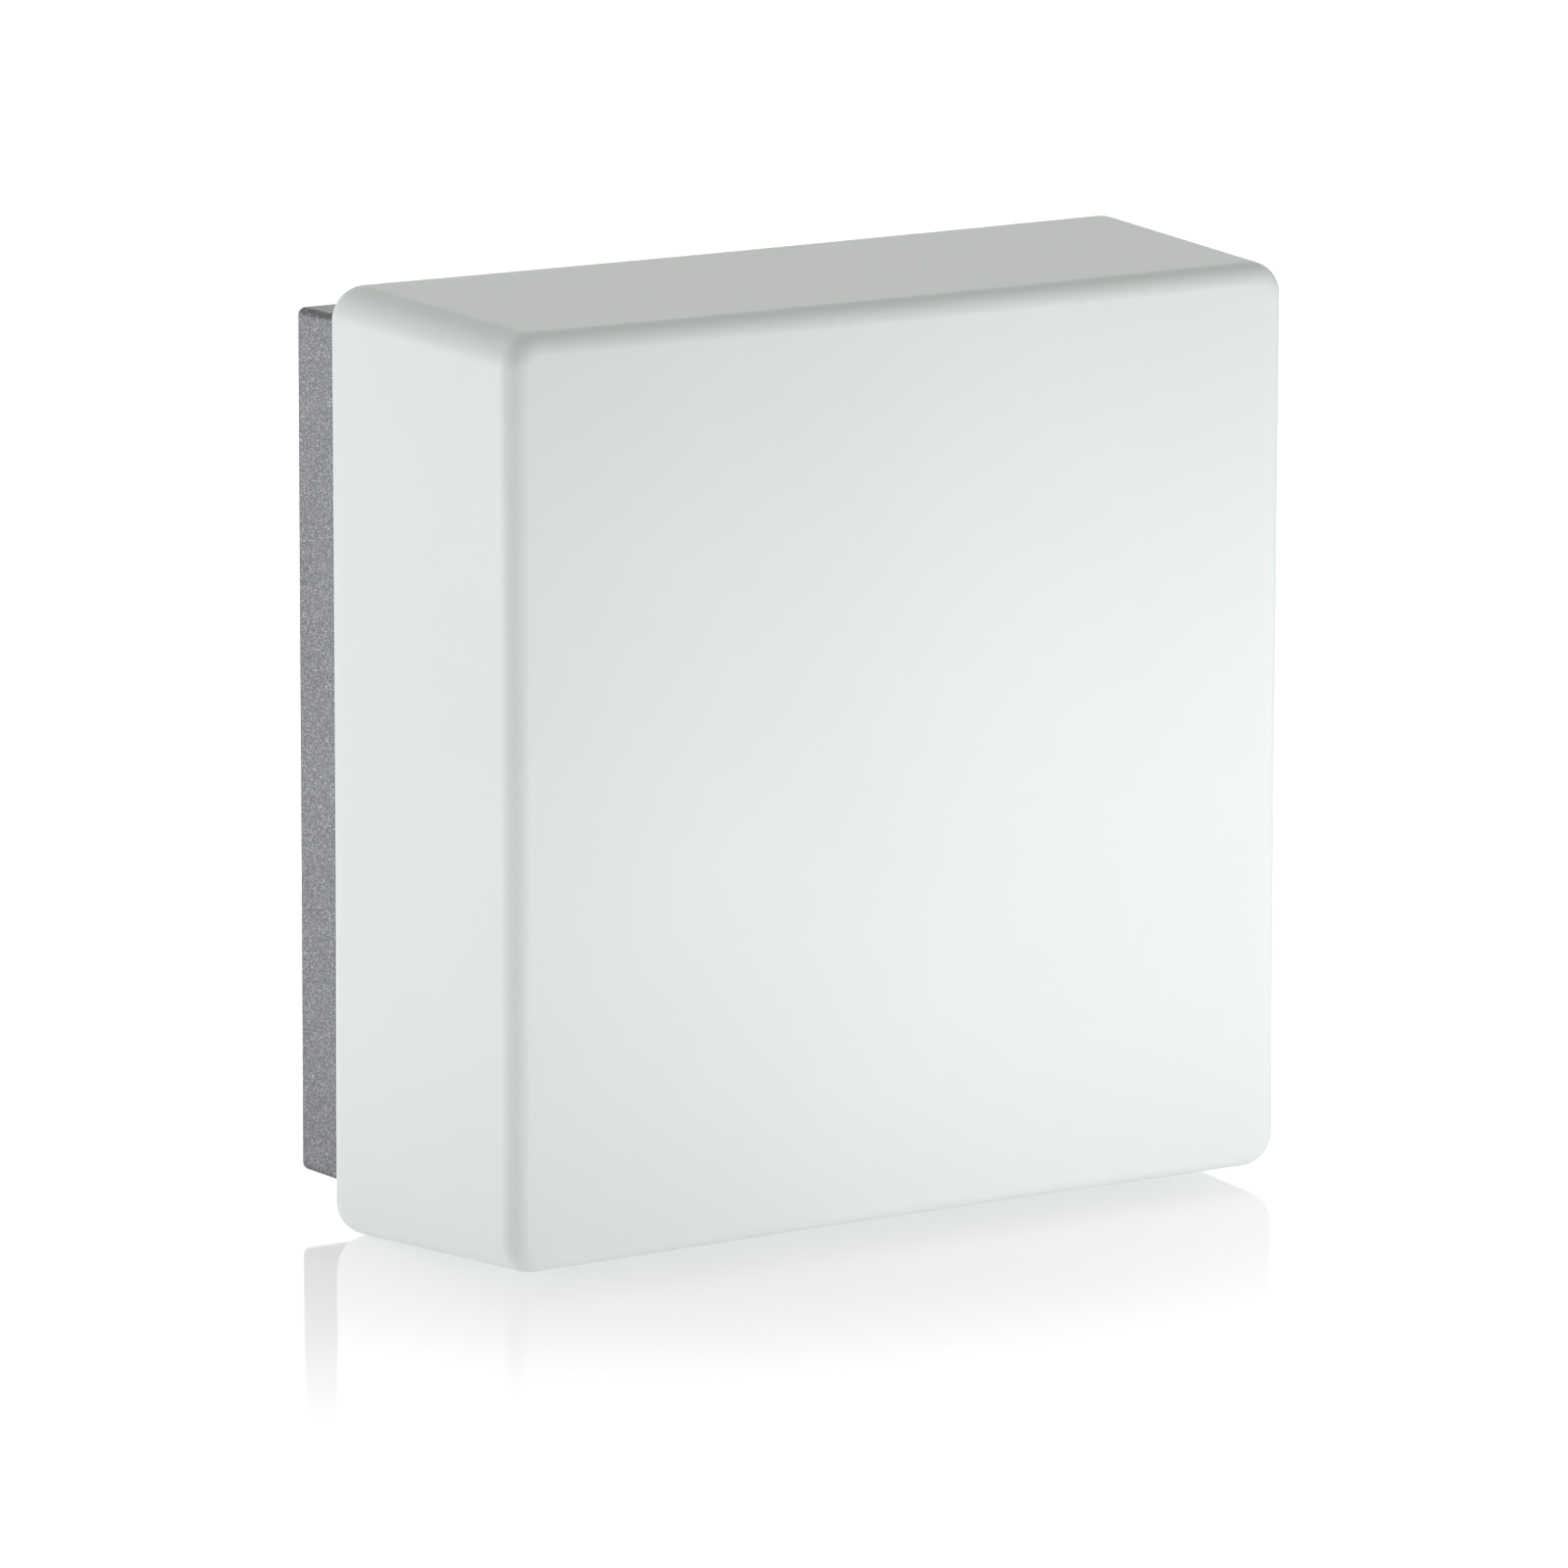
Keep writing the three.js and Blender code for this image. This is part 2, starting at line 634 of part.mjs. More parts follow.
function lampholder(up) {
  const waist = holderRadius - HOLDER_WAIST;
  const backEnd = holderBack - HOLDER_BACK;
  const collar = holderMouth + HOLDER_COLLAR;
  const body = turned(
    [
      [0, holderBack],
      [holderRadius - HOLDER_CHAMFER, holderBack],
      [holderRadius, holderBack - HOLDER_CHAMFER],
      [holderRadius, backEnd],
      [waist, backEnd - HOLDER_WAIST],
      [waist, collar + 1],
      [holderRadius, collar],
      [holderRadius, holderMouth + HOLDER_CHAMFER],
      [holderRadius - HOLDER_CHAMFER, holderMouth],
      [holderBore, holderMouth],
      [holderBore, boreBottom],
      [0, boreBottom],
    ].reverse(),
    32,
  );
  const nippleHole = rod(NIPPLE_RADIUS + GAP, holderBack - NIPPLE_REACH - 1, holderBack + 1, 16);
  const placed = onLampAxis(carve(body, [], [nippleHole]), up);
  const underside = lampAxisLevel - holderRadius;
  const ports = [-1, 1].map((side) =>
    rod(PORT_RADIUS, underside - 2, underside + PORT_DEPTH, 12).translate(
      -up * portAt,
      (up * LAMP_PITCH) / 2 + side * PORT_SPREAD,
      0,
    ),
  );
  return carve(placed, [], ports);
}

function socketShell(up) {
  const from = holderMouth + SHELL_SETBACK;
  return onLampAxis(tube(shellInner, shellInner + SHELL_WALL, from, from + SHELL_LENGTH, 32), up);
}

// Sprung centre contact: a bent strip that rises from the bore's floor to the lamp's tip.
function centreContact(up) {
  const { strip, width, foot, reach, bend } = CENTRE_CONTACT;
  const low = boreBottom - GAP;
  const high = lampStart + GAP;
  const outline = new THREE.Shape();
  outline.moveTo(-foot, low);
  outline.lineTo(-foot, low - strip);
  outline.lineTo(-strip * 1.7, low - strip);
  outline.lineTo(-reach, high + 2 * strip);
  outline.lineTo(-reach + bend, high);
  outline.lineTo(reach, high);
  outline.lineTo(reach, high + strip);
  outline.lineTo(-reach + bend + strip / 2, high + strip);
  outline.lineTo(-reach + 1.3 * strip, high + 2.5 * strip);
  outline.lineTo(0, low);
  outline.closePath();
  const strap = new THREE.ExtrudeGeometry(outline, { depth: width, bevelEnabled: false });
  return onLampAxis(strap.translate(0, 0, -width / 2).rotateX(TURN / 4), up);
}

// Bent steel bracket: an upright that carries the holder, and a foot screwed to the tray.
function holderBracket(up) {
  const top = lampAxisLevel + BRACKET_TOP;
  const outline = new THREE.Shape();
  outline.moveTo(bracketOuter, trayFront);
  outline.lineTo(bracketOuter, top);
  outline.lineTo(bracketInner, top);
  outline.lineTo(bracketInner, trayFront + SHEET + 1);
  outline.lineTo(bracketInner - 1, trayFront + SHEET);
  outline.lineTo(bracketInner - BRACKET_FOOT, trayFront + SHEET);
  outline.lineTo(bracketInner - BRACKET_FOOT, trayFront);
  outline.closePath();
  const sheet = new THREE.ExtrudeGeometry(outline, { depth: BRACKET_WIDTH, bevelEnabled: false });
  sheet.rotateX(TURN / 4).translate(0, BRACKET_WIDTH / 2, 0);
  const cuts = [
    rod(NIPPLE_RADIUS + GAP, -bracketOuter - 2, -bracketInner + 2, 20)
      .rotateY(-TURN / 4)
      .translate(0, 0, lampAxisLevel),
  ];
  for (const side of [-1, 1]) {
    const hole = rod(sheetScrewHole, 0, lampAxisLevel / 2, 12);
    cuts.push(hole.translate(footScrewX, (side * BRACKET_WIDTH) / 4, 0));
  }
  const made = carve(sheet, [], cuts);
  return made.rotateZ(up > 0 ? TURN / 2 : 0).translate(0, (up * LAMP_PITCH) / 2, 0);
}

// Hollow threaded nipple with a hex flange, which clamps the holder to its bracket.
function holderNipple(up) {
  const stemEnd = holderBack - NIPPLE_REACH;
  const flange = bracketOuter + GAP;
  const hex = rod(NUT_FLATS / Math.sqrt(3), flange, flange + NUT_THICKNESS, 6);
  return onLampAxis(
    carve(hex, [rod(NIPPLE_RADIUS, stemEnd, flange + 1, 16)], [
      rod(NIPPLE_BORE, stemEnd - 1, flange + NUT_THICKNESS + 1, 16),
    ]),
    up,
  );
}

// Where the lamp's own length starts at its centre contact: `along` runs from there to the top of the bulb.
const lampLevel = (along) => lampStart - along;

// The bulb's outline from where its flare starts to its top, set in from the outer face by `inset`.
function bulbOutline(inset) {
  const ballCentre = LAMP_LENGTH - LAMP_RADIUS;
  const ballRadius = LAMP_RADIUS - inset;
  const flareStart = CAP_LENGTH + 6;
  const flareRadius = CAP_RADIUS + 1.2 - inset;
  const join = (-50 / 360) * TURN; // where the flare meets the ball, as an angle below its widest
  const joinRadius = ballRadius * Math.cos(join);
  const joinAlong = ballCentre + ballRadius * Math.sin(join);
  const outline = [];
  const flareSteps = 5;
  for (let i = 0; i < flareSteps; i++) {
    const t = i / flareSteps;
    const blend = t * t * (3 - 2 * t) * 0.45 + t * 0.55;
    outline.push([
      flareRadius + (joinRadius - flareRadius) * blend,
      lampLevel(flareStart + (joinAlong - flareStart) * t),
    ]);
  }
  const ballSteps = 9;
  for (let i = 0; i < ballSteps; i++) {
    const angle = join + (TURN / 4 - join) * (i / ballSteps);
    outline.push([ballRadius * Math.cos(angle), lampLevel(ballCentre + ballRadius * Math.sin(angle))]);
  }
  outline.push([0, lampLevel(ballCentre + ballRadius)]);
  return outline;
}

// A hollow envelope, open at the neck, which stands inside the cap's rim.
function lampBulb(up) {
  const neckStart = lampLevel(CAP_LENGTH - CAP_LAP);
  const neckRadius = CAP_RADIUS - CAP_WALL - GAP;
  const profile = [
    [neckRadius - BULB_WALL, neckStart],
    [neckRadius, neckStart],
    [neckRadius, lampLevel(CAP_LENGTH + GAP)],
    [CAP_RADIUS + 1, lampLevel(CAP_LENGTH + 1)],
    ...bulbOutline(0),
    ...bulbOutline(BULB_WALL).reverse(),
    [neckRadius - BULB_WALL, lampLevel(CAP_LENGTH + 2)],
    [neckRadius - BULB_WALL, neckStart],
  ];
  return onLampAxis(turned(profile.reverse(), 20), up);
}

// The threaded cap, a cup with the bulb's neck in its mouth.
function lampCap(up) {
  const start = CAP_START;
  const profile = [
    [0, lampLevel(start)],
    [CAP_RADIUS - CAP_SHOULDER, lampLevel(start - 1)],
  ];
  const turns = 4;
  for (let i = 0; i <= 2 * turns; i++)
    profile.push([CAP_RADIUS - (i % 2 ? 0 : THREAD_DEPTH), lampLevel(start + (i * THREAD_PITCH) / 2)]);
  const mouthRadius = CAP_RADIUS - CAP_WALL;
  const innerRadius = mouthRadius - THREAD_DEPTH;
  const ledge = lampLevel(CAP_LENGTH - CAP_LAP - GAP);
  profile.push(
    [CAP_RADIUS, lampLevel(CAP_LENGTH - CAP_LAP - 1)],
    [CAP_RADIUS, lampLevel(CAP_LENGTH)],
    [mouthRadius, lampLevel(CAP_LENGTH)],
    [mouthRadius, ledge],
    [innerRadius, ledge],
    [innerRadius, lampLevel(start + 1)],
    [0, lampLevel(start + 1)],
  );
  return onLampAxis(turned(profile.reverse(), 20), up);
}

// Black glass insulator with the lamp's tip in its middle.
function lampContact(up) {
  const { tip, crown, margin, crownAt, rimAt } = LAMP_CONTACT;
  const rim = CAP_RADIUS - margin;
  const profile = [
    [0, lampLevel(0.2)],
    [tip, lampLevel(0.4)],
    [crown, lampLevel(crownAt)],
    [rim, lampLevel(rimAt)],
    [rim, lampLevel(CAP_START - 1 - GAP)],
    [0, lampLevel(CAP_START - GAP)],
  ];
  return onLampAxis(turned(profile.reverse(), 20), up);
}

function poleX(pole) {
  return (pole - (POLES - 1) / 2) * POLE_PITCH;
}

function terminalBlock() {
  const base = block(
    -blockHalf - EAR_LENGTH,
    -EAR_DEPTH / 2,
    trayFront,
    blockHalf + EAR_LENGTH,
    EAR_DEPTH / 2,
    trayFront + BLOCK_BASE / 2,
  );
  const rail = -blockEdge - BLOCK_STEP;
  const joins = [block(-blockHalf, -rail, trayFront, blockHalf, rail, trayFront + BLOCK_BASE)];
  const cuts = [];
  const top = trayFront + BLOCK_HEIGHT;
  for (let pole = 0; pole < POLES; pole++) {
    const x = poleX(pole);
    const halfPole = POLE_WIDTH / 2;
    const halfChannel = CHANNEL_WIDTH / 2;
    joins.push(block(x - halfPole, blockEdge, trayFront + BLOCK_BASE / 3, x + halfPole, -blockEdge, top));
    cuts.push(
      block(
        x - halfChannel,
        2 * blockEdge,
        channelLevel,
        x + halfChannel,
        -2 * blockEdge,
        channelLevel + CHANNEL_HEIGHT,
      ),
    );
    for (const row of [-1, 1])
      cuts.push(
        rod(CLAMP_SCREW_RADIUS + GAP, channelLevel + 1, top + 1, 14).translate(x, row * CLAMP_SPREAD, 0),
      );
  }
  for (const side of [-1, 1]) cuts.push(rod(sheetScrewHole, 0, top, 12).translate(side * earScrewX, 0, 0));
  return carve(base, joins, cuts);
}

function clampScrew(pole, row) {
  const from = channelLevel + CHANNEL_HEIGHT + GAP;
  const to = trayFront + BLOCK_HEIGHT - CLAMP_SCREW_SUNK;
  const reach = CLAMP_SCREW_RADIUS + 1;
  const half = CLAMP_SLOT_WIDTH / 2;
  const slot = block(-reach, -half, to - CLAMP_SLOT_DEPTH, reach, half, to + 1);
  const screw = carve(rod(CLAMP_SCREW_RADIUS, from, to, 14), [], [slot]);
  return screw.translate(poleX(pole), row * CLAMP_SPREAD, 0);
}

// A round lead along a smooth curve through the points.
function lead(points) {
  const curve = new THREE.CatmullRomCurve3(
    points.map(([x, y, z]) => new THREE.Vector3(x, y, z)),
    false,
    "centripetal",
  );
  const section = new THREE.Shape();
  section.absarc(0, 0, LEAD_RADIUS, 0, TURN, false);
  return new THREE.ExtrudeGeometry(section, {
    steps: 24,
    curveSegments: 3,
    extrudePath: curve,
    bevelEnabled: false,
  });
}

const laidLevel = trayFront + LEAD_RADIUS + 2 * GAP; // a lead lying on the tray
const clampedLevel = channelLevel + CHANNEL_HEIGHT / 2;
const crossingLevel = laidLevel + 2 * LEAD_RADIUS + 2 * GAP; // a lead over one that lies on the tray
const earEnd = blockHalf + EAR_LENGTH;
const riseAt = portAt - 24; // where a lead starts to rise to its port
const across = (share) => earEnd + (riseAt - earEnd) * share;

// Out of the block's lower side, level with its channel.
const leadStart = (x) => [
  [x, blockEdge + 3, clampedLevel],
  [x, blockEdge - 2, clampedLevel],
];

// Along the tray and up into a port under the holder on one side.
const leadEnd = (side, portY) => [
  [side * riseAt, portY, laidLevel + 1],
  [side * (portAt - 9), portY, laidLevel + 9],
  [side * portAt, portY, lampAxisLevel - holderRadius - PORT_DEPTH],
  [side * portAt, portY, lampAxisLevel - holderRadius + PORT_DEPTH - 2],
];

// The upper lamp's leads turn left under the block, and run up past its end.
function upperLiveLead() {
  const x = poleX(0) - LEAD_SPREAD;
  const portY = LAMP_PITCH / 2 + PORT_SPREAD;
  return lead([
    ...leadStart(x),
    [x - 3, blockEdge - 5.5, laidLevel + 2],
    [-across(-0.07), blockEdge - 3, laidLevel],
    [-across(0.05), blockEdge + 3, laidLevel],
    [-across(0.1), -blockEdge, laidLevel],
    [-across(0.25), portY - 16, laidLevel],
    [-across(0.55), portY - 3, laidLevel],
    ...leadEnd(-1, portY),
  ]);
}

function upperNeutralLead() {
  const x = poleX(POLES - 1) - LEAD_SPREAD;
  const portY = LAMP_PITCH / 2 - PORT_SPREAD;
  return lead([
    ...leadStart(x),
    [x - 3.5, blockEdge - 8, crossingLevel + 0.6],
    [0, blockEdge - 11, crossingLevel],
    [poleX(0) + LEAD_SPREAD, blockEdge - 11, crossingLevel],
    [-across(-0.02), blockEdge - 9, laidLevel + 0.3],
    [-across(0.25), 0, laidLevel],
    [-across(0.45), portY - 14, laidLevel],
    [-across(0.7), portY - 1.5, laidLevel],
    ...leadEnd(-1, portY),
  ]);
}

// The lower lamp's leads turn right.
function lowerLiveLead() {
  const x = poleX(0) + LEAD_SPREAD;
  const portY = -LAMP_PITCH / 2 - PORT_SPREAD;
  return lead([
    ...leadStart(x),
    [x, blockEdge - 8.5, laidLevel + 0.9],
    [x + 4, blockEdge - 16, laidLevel],
    [poleX(POLES - 1), blockEdge - 18.5, laidLevel],
    [across(0.2), (blockEdge + portY) / 2, laidLevel],
    ...leadEnd(1, portY),
  ]);
}

function lowerNeutralLead() {
  const x = poleX(POLES - 1) + LEAD_SPREAD;
  const portY = -LAMP_PITCH / 2 + PORT_SPREAD;
  return lead([
    ...leadStart(x),
    [x + 2.5, blockEdge - 6.5, laidLevel + 1.5],
    [x + 9, blockEdge - 10, laidLevel],
    [across(0.37), (blockEdge + portY) / 2 - 3, laidLevel],
    ...leadEnd(1, portY),
  ]);
}

// Straight down from the block, over the lamps' leads, into the lug's barrel.
function earthLead() {
  const barrelMouth = -EARTH_DROP + LUG.to;
  return lead([
    ...leadStart(poleX(1)),
    [0, blockEdge - 9, clampedLevel + 0.3],
    [0, blockEdge - 13, clampedLevel],
    [0, barrelMouth + 3.5, lugLevel + LUG.rise + 1],
    [0, barrelMouth, lugLevel + LUG.rise],
    [0, barrelMouth - 3.5, lugLevel + LUG.rise],
  ]);
}

// Crimped ring lug: a washer with a barrel that points up at the block.
function earthLug() {
  const { ring, eye, neck, from, to, radius } = LUG;
  const alongY = (geometry) => geometry.rotateX(-TURN / 4).translate(0, 0, lugLevel + LUG.rise);
  const joins = [
    block(-neck / 2, 0, lugLevel, neck / 2, from + 1, lugLevel + LUG_SHEET),
    alongY(rod(radius, from, to, 12)),
  ];
  const cuts = [
    alongY(rod(LEAD_RADIUS + GAP, from + LUG_SHEET, to + 1, 12)),
    rod(eye, lugLevel - 1, lugLevel + 2, 14),
  ];
  return carve(rod(ring, lugLevel, lugLevel + LUG_SHEET, 18), joins, cuts).translate(0, -EARTH_DROP, 0);
}

// ---------------------------------------------------------------- assembly
addPiece("base_housing", baseHousing(), silverCoat);
addPiece(
  "wall_seal",
  squareRingPiece(
    baseHalf - WALL_SEAL_INSET,
    WALL_SEAL_WIDTH,
    WALL_SEAL_CORNER,
    WALL_SEAL_CORNER / 2,
    0,
    WALL_SEAL_THICKNESS,
  ),
  blackRubber,
);
addPiece(
  "rim_gasket",
  squareRingPiece(
    baseHalf - RIM_GASKET_INSET,
    RIM_GASKET_WIDTH,
    BASE_CORNER,
    NECK_CORNER,
    BASE_DEPTH + GAP,
    BASE_DEPTH + GAP + RIM_GASKET_THICKNESS,
  ),
  silicone,
);
addPiece("cable_grommet", cableGrommet(), blackRubber);
addPiece("gear_tray", gearTray(), whitePaint);
addPiece("tray_bush", trayBush(), blackRubber);
addPiece("glass_shade", glassShade(), opalGlass);

for (const [label, side] of [["left", -1], ["right", 1]])
  addPiece(`fixing_bush_${label}`, fixingBush(side), blackRubber);

const corners = [
  ["upper_left", -1, 1],
  ["upper_right", 1, 1],
  ["lower_left", -1, -1],
  ["lower_right", 1, -1],
];
for (const [label, side, up] of corners) {
  addPiece(`tray_screw_${label}`, panScrew(TRAY_SCREW, side * bossAt, up * bossAt, trayLevel), steel);
  addPiece(`retaining_screw_${label}`, retainingScrew(side * SCREW_SPREAD, up), steel);
  addPiece(`screw_tip_${label}`, screwTip(side * SCREW_SPREAD, up), nylon);
}

const footScrew = { ...SHEET_SCREW, length: FOOT_SCREW_LENGTH };
for (const [label, up] of [["upper", 1], ["lower", -1]]) {
  addPiece(`holder_bracket_${label}`, holderBracket(up), steel);
  addPiece(`holder_nipple_${label}`, holderNipple(up), steel);
  addPiece(`lampholder_${label}`, lampholder(up), porcelain);
  addPiece(`socket_shell_${label}`, socketShell(up), brass);
  addPiece(`centre_contact_${label}`, centreContact(up), brass);
  addPiece(`lamp_bulb_${label}`, lampBulb(up), opalGlass);
  addPiece(`lamp_cap_${label}`, lampCap(up), steel);
  addPiece(`lamp_contact_${label}`, lampContact(up), blackGlass);
  for (const [end, side] of [["top", 1], ["bottom", -1]]) {
    const x = -up * footScrewX;
    const y = (up * LAMP_PITCH) / 2 + (side * BRACKET_WIDTH) / 4;
    addPiece(`bracket_screw_${label}_${end}`, panScrew(footScrew, x, y, trayFront + SHEET), steel);
  }
}
addPiece("live_lead_upper", upperLiveLead(), brownLead);
addPiece("neutral_lead_upper", upperNeutralLead(), blueLead);
addPiece("live_lead_lower", lowerLiveLead(), brownLead);
addPiece("neutral_lead_lower", lowerNeutralLead(), blueLead);

addPiece("terminal_block", terminalBlock(), whitePaint);
const earScrew = { ...SHEET_SCREW, length: EAR_SCREW_LENGTH };
const earTop = trayFront + BLOCK_BASE / 2;
for (const [label, side] of [["left", -1], ["right", 1]])
  addPiece(`block_screw_${label}`, panScrew(earScrew, side * earScrewX, 0, earTop), steel);
for (const [row, end] of [["mains", 1], ["lamp", -1]])
  for (const [pole, label] of ["live", "earth", "neutral"].entries())
    addPiece(`clamp_screw_${row}_${label}`, clampScrew(pole, end), brass);

const washer = tube(WASHER.inner, WASHER.outer, trayFront, trayFront + EARTH_WASHER, 18);
addPiece("earth_washer", washer.translate(0, -EARTH_DROP, 0), steel);
addPiece("earth_lug", earthLug(), steel);
addPiece("earth_screw", panScrew(EARTH_SCREW, 0, -EARTH_DROP, lugLevel + LUG_SHEET), brass);
addPiece("earth_lead", earthLead(), earthLeadGreen);

// Stands the lantern up: +Y up the wall becomes +Z, and +Z out of the wall becomes -Y.
lantern.rotation.x = TURN / 4;

export default lantern;
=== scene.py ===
"""Looks for the outdoor wall lantern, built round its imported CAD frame.

Everything is in metres in the frame's axes: +X right, +Z up, and the wall at y = 0 with the glass facing -Y.
`depth` is a distance in front of the wall, so it is always -y.
"""

import json
import math

import bmesh
import bpy
from mathutils import Matrix, Vector, noise


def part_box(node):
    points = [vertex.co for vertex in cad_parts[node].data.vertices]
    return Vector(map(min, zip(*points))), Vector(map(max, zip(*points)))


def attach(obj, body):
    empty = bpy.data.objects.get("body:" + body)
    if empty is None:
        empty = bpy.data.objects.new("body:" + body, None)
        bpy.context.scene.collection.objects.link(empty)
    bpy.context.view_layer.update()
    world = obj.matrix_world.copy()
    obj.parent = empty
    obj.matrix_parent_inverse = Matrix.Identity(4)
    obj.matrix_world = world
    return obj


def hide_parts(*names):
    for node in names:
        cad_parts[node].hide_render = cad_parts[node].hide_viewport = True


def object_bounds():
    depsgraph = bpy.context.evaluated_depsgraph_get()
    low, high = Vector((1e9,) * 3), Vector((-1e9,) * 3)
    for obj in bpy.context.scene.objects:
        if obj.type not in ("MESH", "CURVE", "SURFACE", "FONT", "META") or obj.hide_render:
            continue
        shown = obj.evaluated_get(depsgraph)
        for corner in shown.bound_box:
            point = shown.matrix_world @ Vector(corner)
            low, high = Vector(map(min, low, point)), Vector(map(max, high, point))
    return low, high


MM = 0.001
TURN = 2 * math.pi

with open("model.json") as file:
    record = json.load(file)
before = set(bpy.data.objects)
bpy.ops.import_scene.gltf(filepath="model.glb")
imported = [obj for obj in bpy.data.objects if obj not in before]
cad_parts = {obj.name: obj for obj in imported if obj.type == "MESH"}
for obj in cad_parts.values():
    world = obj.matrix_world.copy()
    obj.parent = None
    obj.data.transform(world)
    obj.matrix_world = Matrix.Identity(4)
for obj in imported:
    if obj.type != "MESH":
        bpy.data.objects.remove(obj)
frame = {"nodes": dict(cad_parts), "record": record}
cad_low, cad_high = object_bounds()

# ---- sizes, as in the CAD
GAP = 0.3 * MM
SHEET = 1.5 * MM

GLASS_HALF = cad_high.x
GLASS_WALL = 3.5 * MM
GLASS_DRAFT = 4 * MM
GLASS_CORNER = 11 * MM
FRONT_EDGE = 7 * MM
REAR_EDGE = 10 * MM
NECK_HALF = 127 * MM
NECK_CORNER = 9 * MM
GLASS_DEPTH = 102 * MM
GLASS_LIP = 0.8 * MM  # rounding of the neck's fire-polished end
GLASS_SAG = 0.45 * MM  # how far each blown face is drawn in at its middle
GLASS_WAVE = 0.15 * MM

BASE_CORNER = 2.5 * MM
BASE_BACK_EDGE = 2.2 * MM
BASE_FRONT_EDGE = 0.5 * MM
BASE_WALL = 3 * MM
BASE_FLOOR = 3 * MM
RIM_WIDTH = 7 * MM
RIM_THICKNESS = 3 * MM
CAVITY_CORNER = 1.5 * MM
SEAL_INSET = 6 * MM
SEAL_WIDTH = 4.4 * MM
SEAL_CORNER = 3.5 * MM
SEAL_GROOVE = 1.2 * MM
GASKET_INSET = 5.8 * MM  # from the base's sides to the gasket's inner edge
DRAIN_RADIUS = 2 * MM
DRAIN_LEVEL = 7 * MM

SEAT_CLEARANCE = 0.2 * MM
ENTRY_RADIUS = 10.7 * MM
ENTRY_PAD_WIDTH = 3.5 * MM
ENTRY_PAD_HEIGHT = 2 * MM
GROMMET_FLANGE = 1.6 * MM
GROMMET_FLANGE_WIDTH = 2.8 * MM
GROMMET_SKIN = 1.4 * MM
GROMMET_TIP = 2 * MM
BUSH_RADIUS = 5.7 * MM
BUSH_BORE = 2.7 * MM
BUSH_FLANGE = 2 * MM
SEAT_WIDTH = 4.3 * MM
SEAT_HEIGHT = 4 * MM
ACCESS_PLAY = 1.5 * MM

TRAY_CORNER = 6 * MM
TRAY_BEND = 2.2 * MM
CABLE_HOLE_RADIUS = 8 * MM
TRAY_BUSH_LIP = 2 * MM
TRAY_BUSH_THICKNESS = 1.2 * MM
BOSS_WALL = 2.3 * MM

SCREW_SHANK = 2.4 * MM
SCREW_PITCH = 0.8 * MM
SCREW_LUG = 12 * MM
LUG_SETBACK = 0.02 * MM  # from the mouth's wall, so that no faces lie together
KNOB_RADIUS = 5.6 * MM
KNOB_HEIGHT = 5 * MM
KNURLS = 36
KNURL_DEPTH = 0.3 * MM
SOCKET_FLAT = 1.9 * MM  # from the middle to each flat of the hexagon
SOCKET_DEPTH = 3 * MM
TIP_BORE = 2 * MM
TIP_BORE_DEPTH = 3 * MM

CAP_RADIUS = 13.2 * MM
CAP_LENGTH = 26 * MM
CAP_START = 6 * MM  # from the lamp's tip
CAP_LAP = 3 * MM
CAP_WALL = 0.8 * MM
THREAD_PITCH = 3.6 * MM
THREAD_DEPTH = 1 * MM
THREAD_TURNS = 4
BULB_WALL = 1 * MM
BULB_NECK = 1.2 * MM  # how much wider than the cap the bulb's neck is
BULB_NECK_END = 6 * MM  # beyond the cap, where the flare starts
BULB_JOIN = math.radians(-50)  # where the flare meets the ball, from its widest ring
LAMP_LENGTH = 108 * MM
LAMP_RADIUS = 30 * MM
HOLDER_LENGTH = 46 * MM
HOLDER_BACK = 16 * MM
HOLDER_WAIST = 1.5 * MM
HOLDER_COLLAR = 4 * MM
HOLDER_CHAMFER = 1.2 * MM
CONTACT_ROOM = 7 * MM
SHELL_WALL = 0.5 * MM
CAP_PLAY = 0.5 * MM
NIPPLE_RADIUS = 5 * MM
NIPPLE_BORE = 3 * MM
NIPPLE_REACH = 5 * MM
NUT_FLAT = 7 * MM
NUT_THICKNESS = 5 * MM
PORT_RADIUS = 1.7 * MM
PORT_SPREAD = 8 * MM
PORT_DEPTH = 7 * MM

# shank radius, head height and thread pitch of each kind of pan-head screw
PAN_SCREWS = {
    "tray_screw_": (1.9 * MM, 2.4 * MM, 0.7 * MM),
    "bracket_screw_": (1.4 * MM, 1.9 * MM, 1.1 * MM),
    "block_screw_": (1.4 * MM, 1.9 * MM, 1.1 * MM),
    "earth_screw": (1.4 * MM, 2.2 * MM, 1.1 * MM),
}
EDGE_SOFTNESS = 0.25 * MM  # bevel on the edges of the CAD pieces that are kept
MERGE_DISTANCE = 0.001 * MM
WELD_DISTANCE = 0.002 * MM
LEAST_CORNER = 0.2 * MM

SMOOTH_ANGLE = math.radians(35)
WIDE_SMOOTH_ANGLE = math.radians(50)
GLASS_SMOOTH_ANGLE = math.radians(60)
FLAT_ANGLE = math.radians(0.5)
SIDES = ("left", "right")
# each corner's and each lamp's direction along Z from the lantern's middle
CORNERS = {"upper_left": 1, "upper_right": 1, "lower_left": -1, "lower_right": -1}
LAMPS = {"upper": 1, "lower": -1}


# ---- places read from the frame
def middle(node):
    low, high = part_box(node)
    return (low + high) / 2


def depths(node):
    """How far a node's nearest and furthest points are from the wall."""
    low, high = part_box(node)
    return -high.y, -low.y


def half_width(node):
    low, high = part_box(node)
    return (high.x - low.x) / 2


def span(node, axis):
    """A node's nearest and furthest distances from the lantern's middle, along axis 0 (X) or 2 (Z)."""
    low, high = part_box(node)
    return sorted((abs(low[axis]), abs(high[axis])))


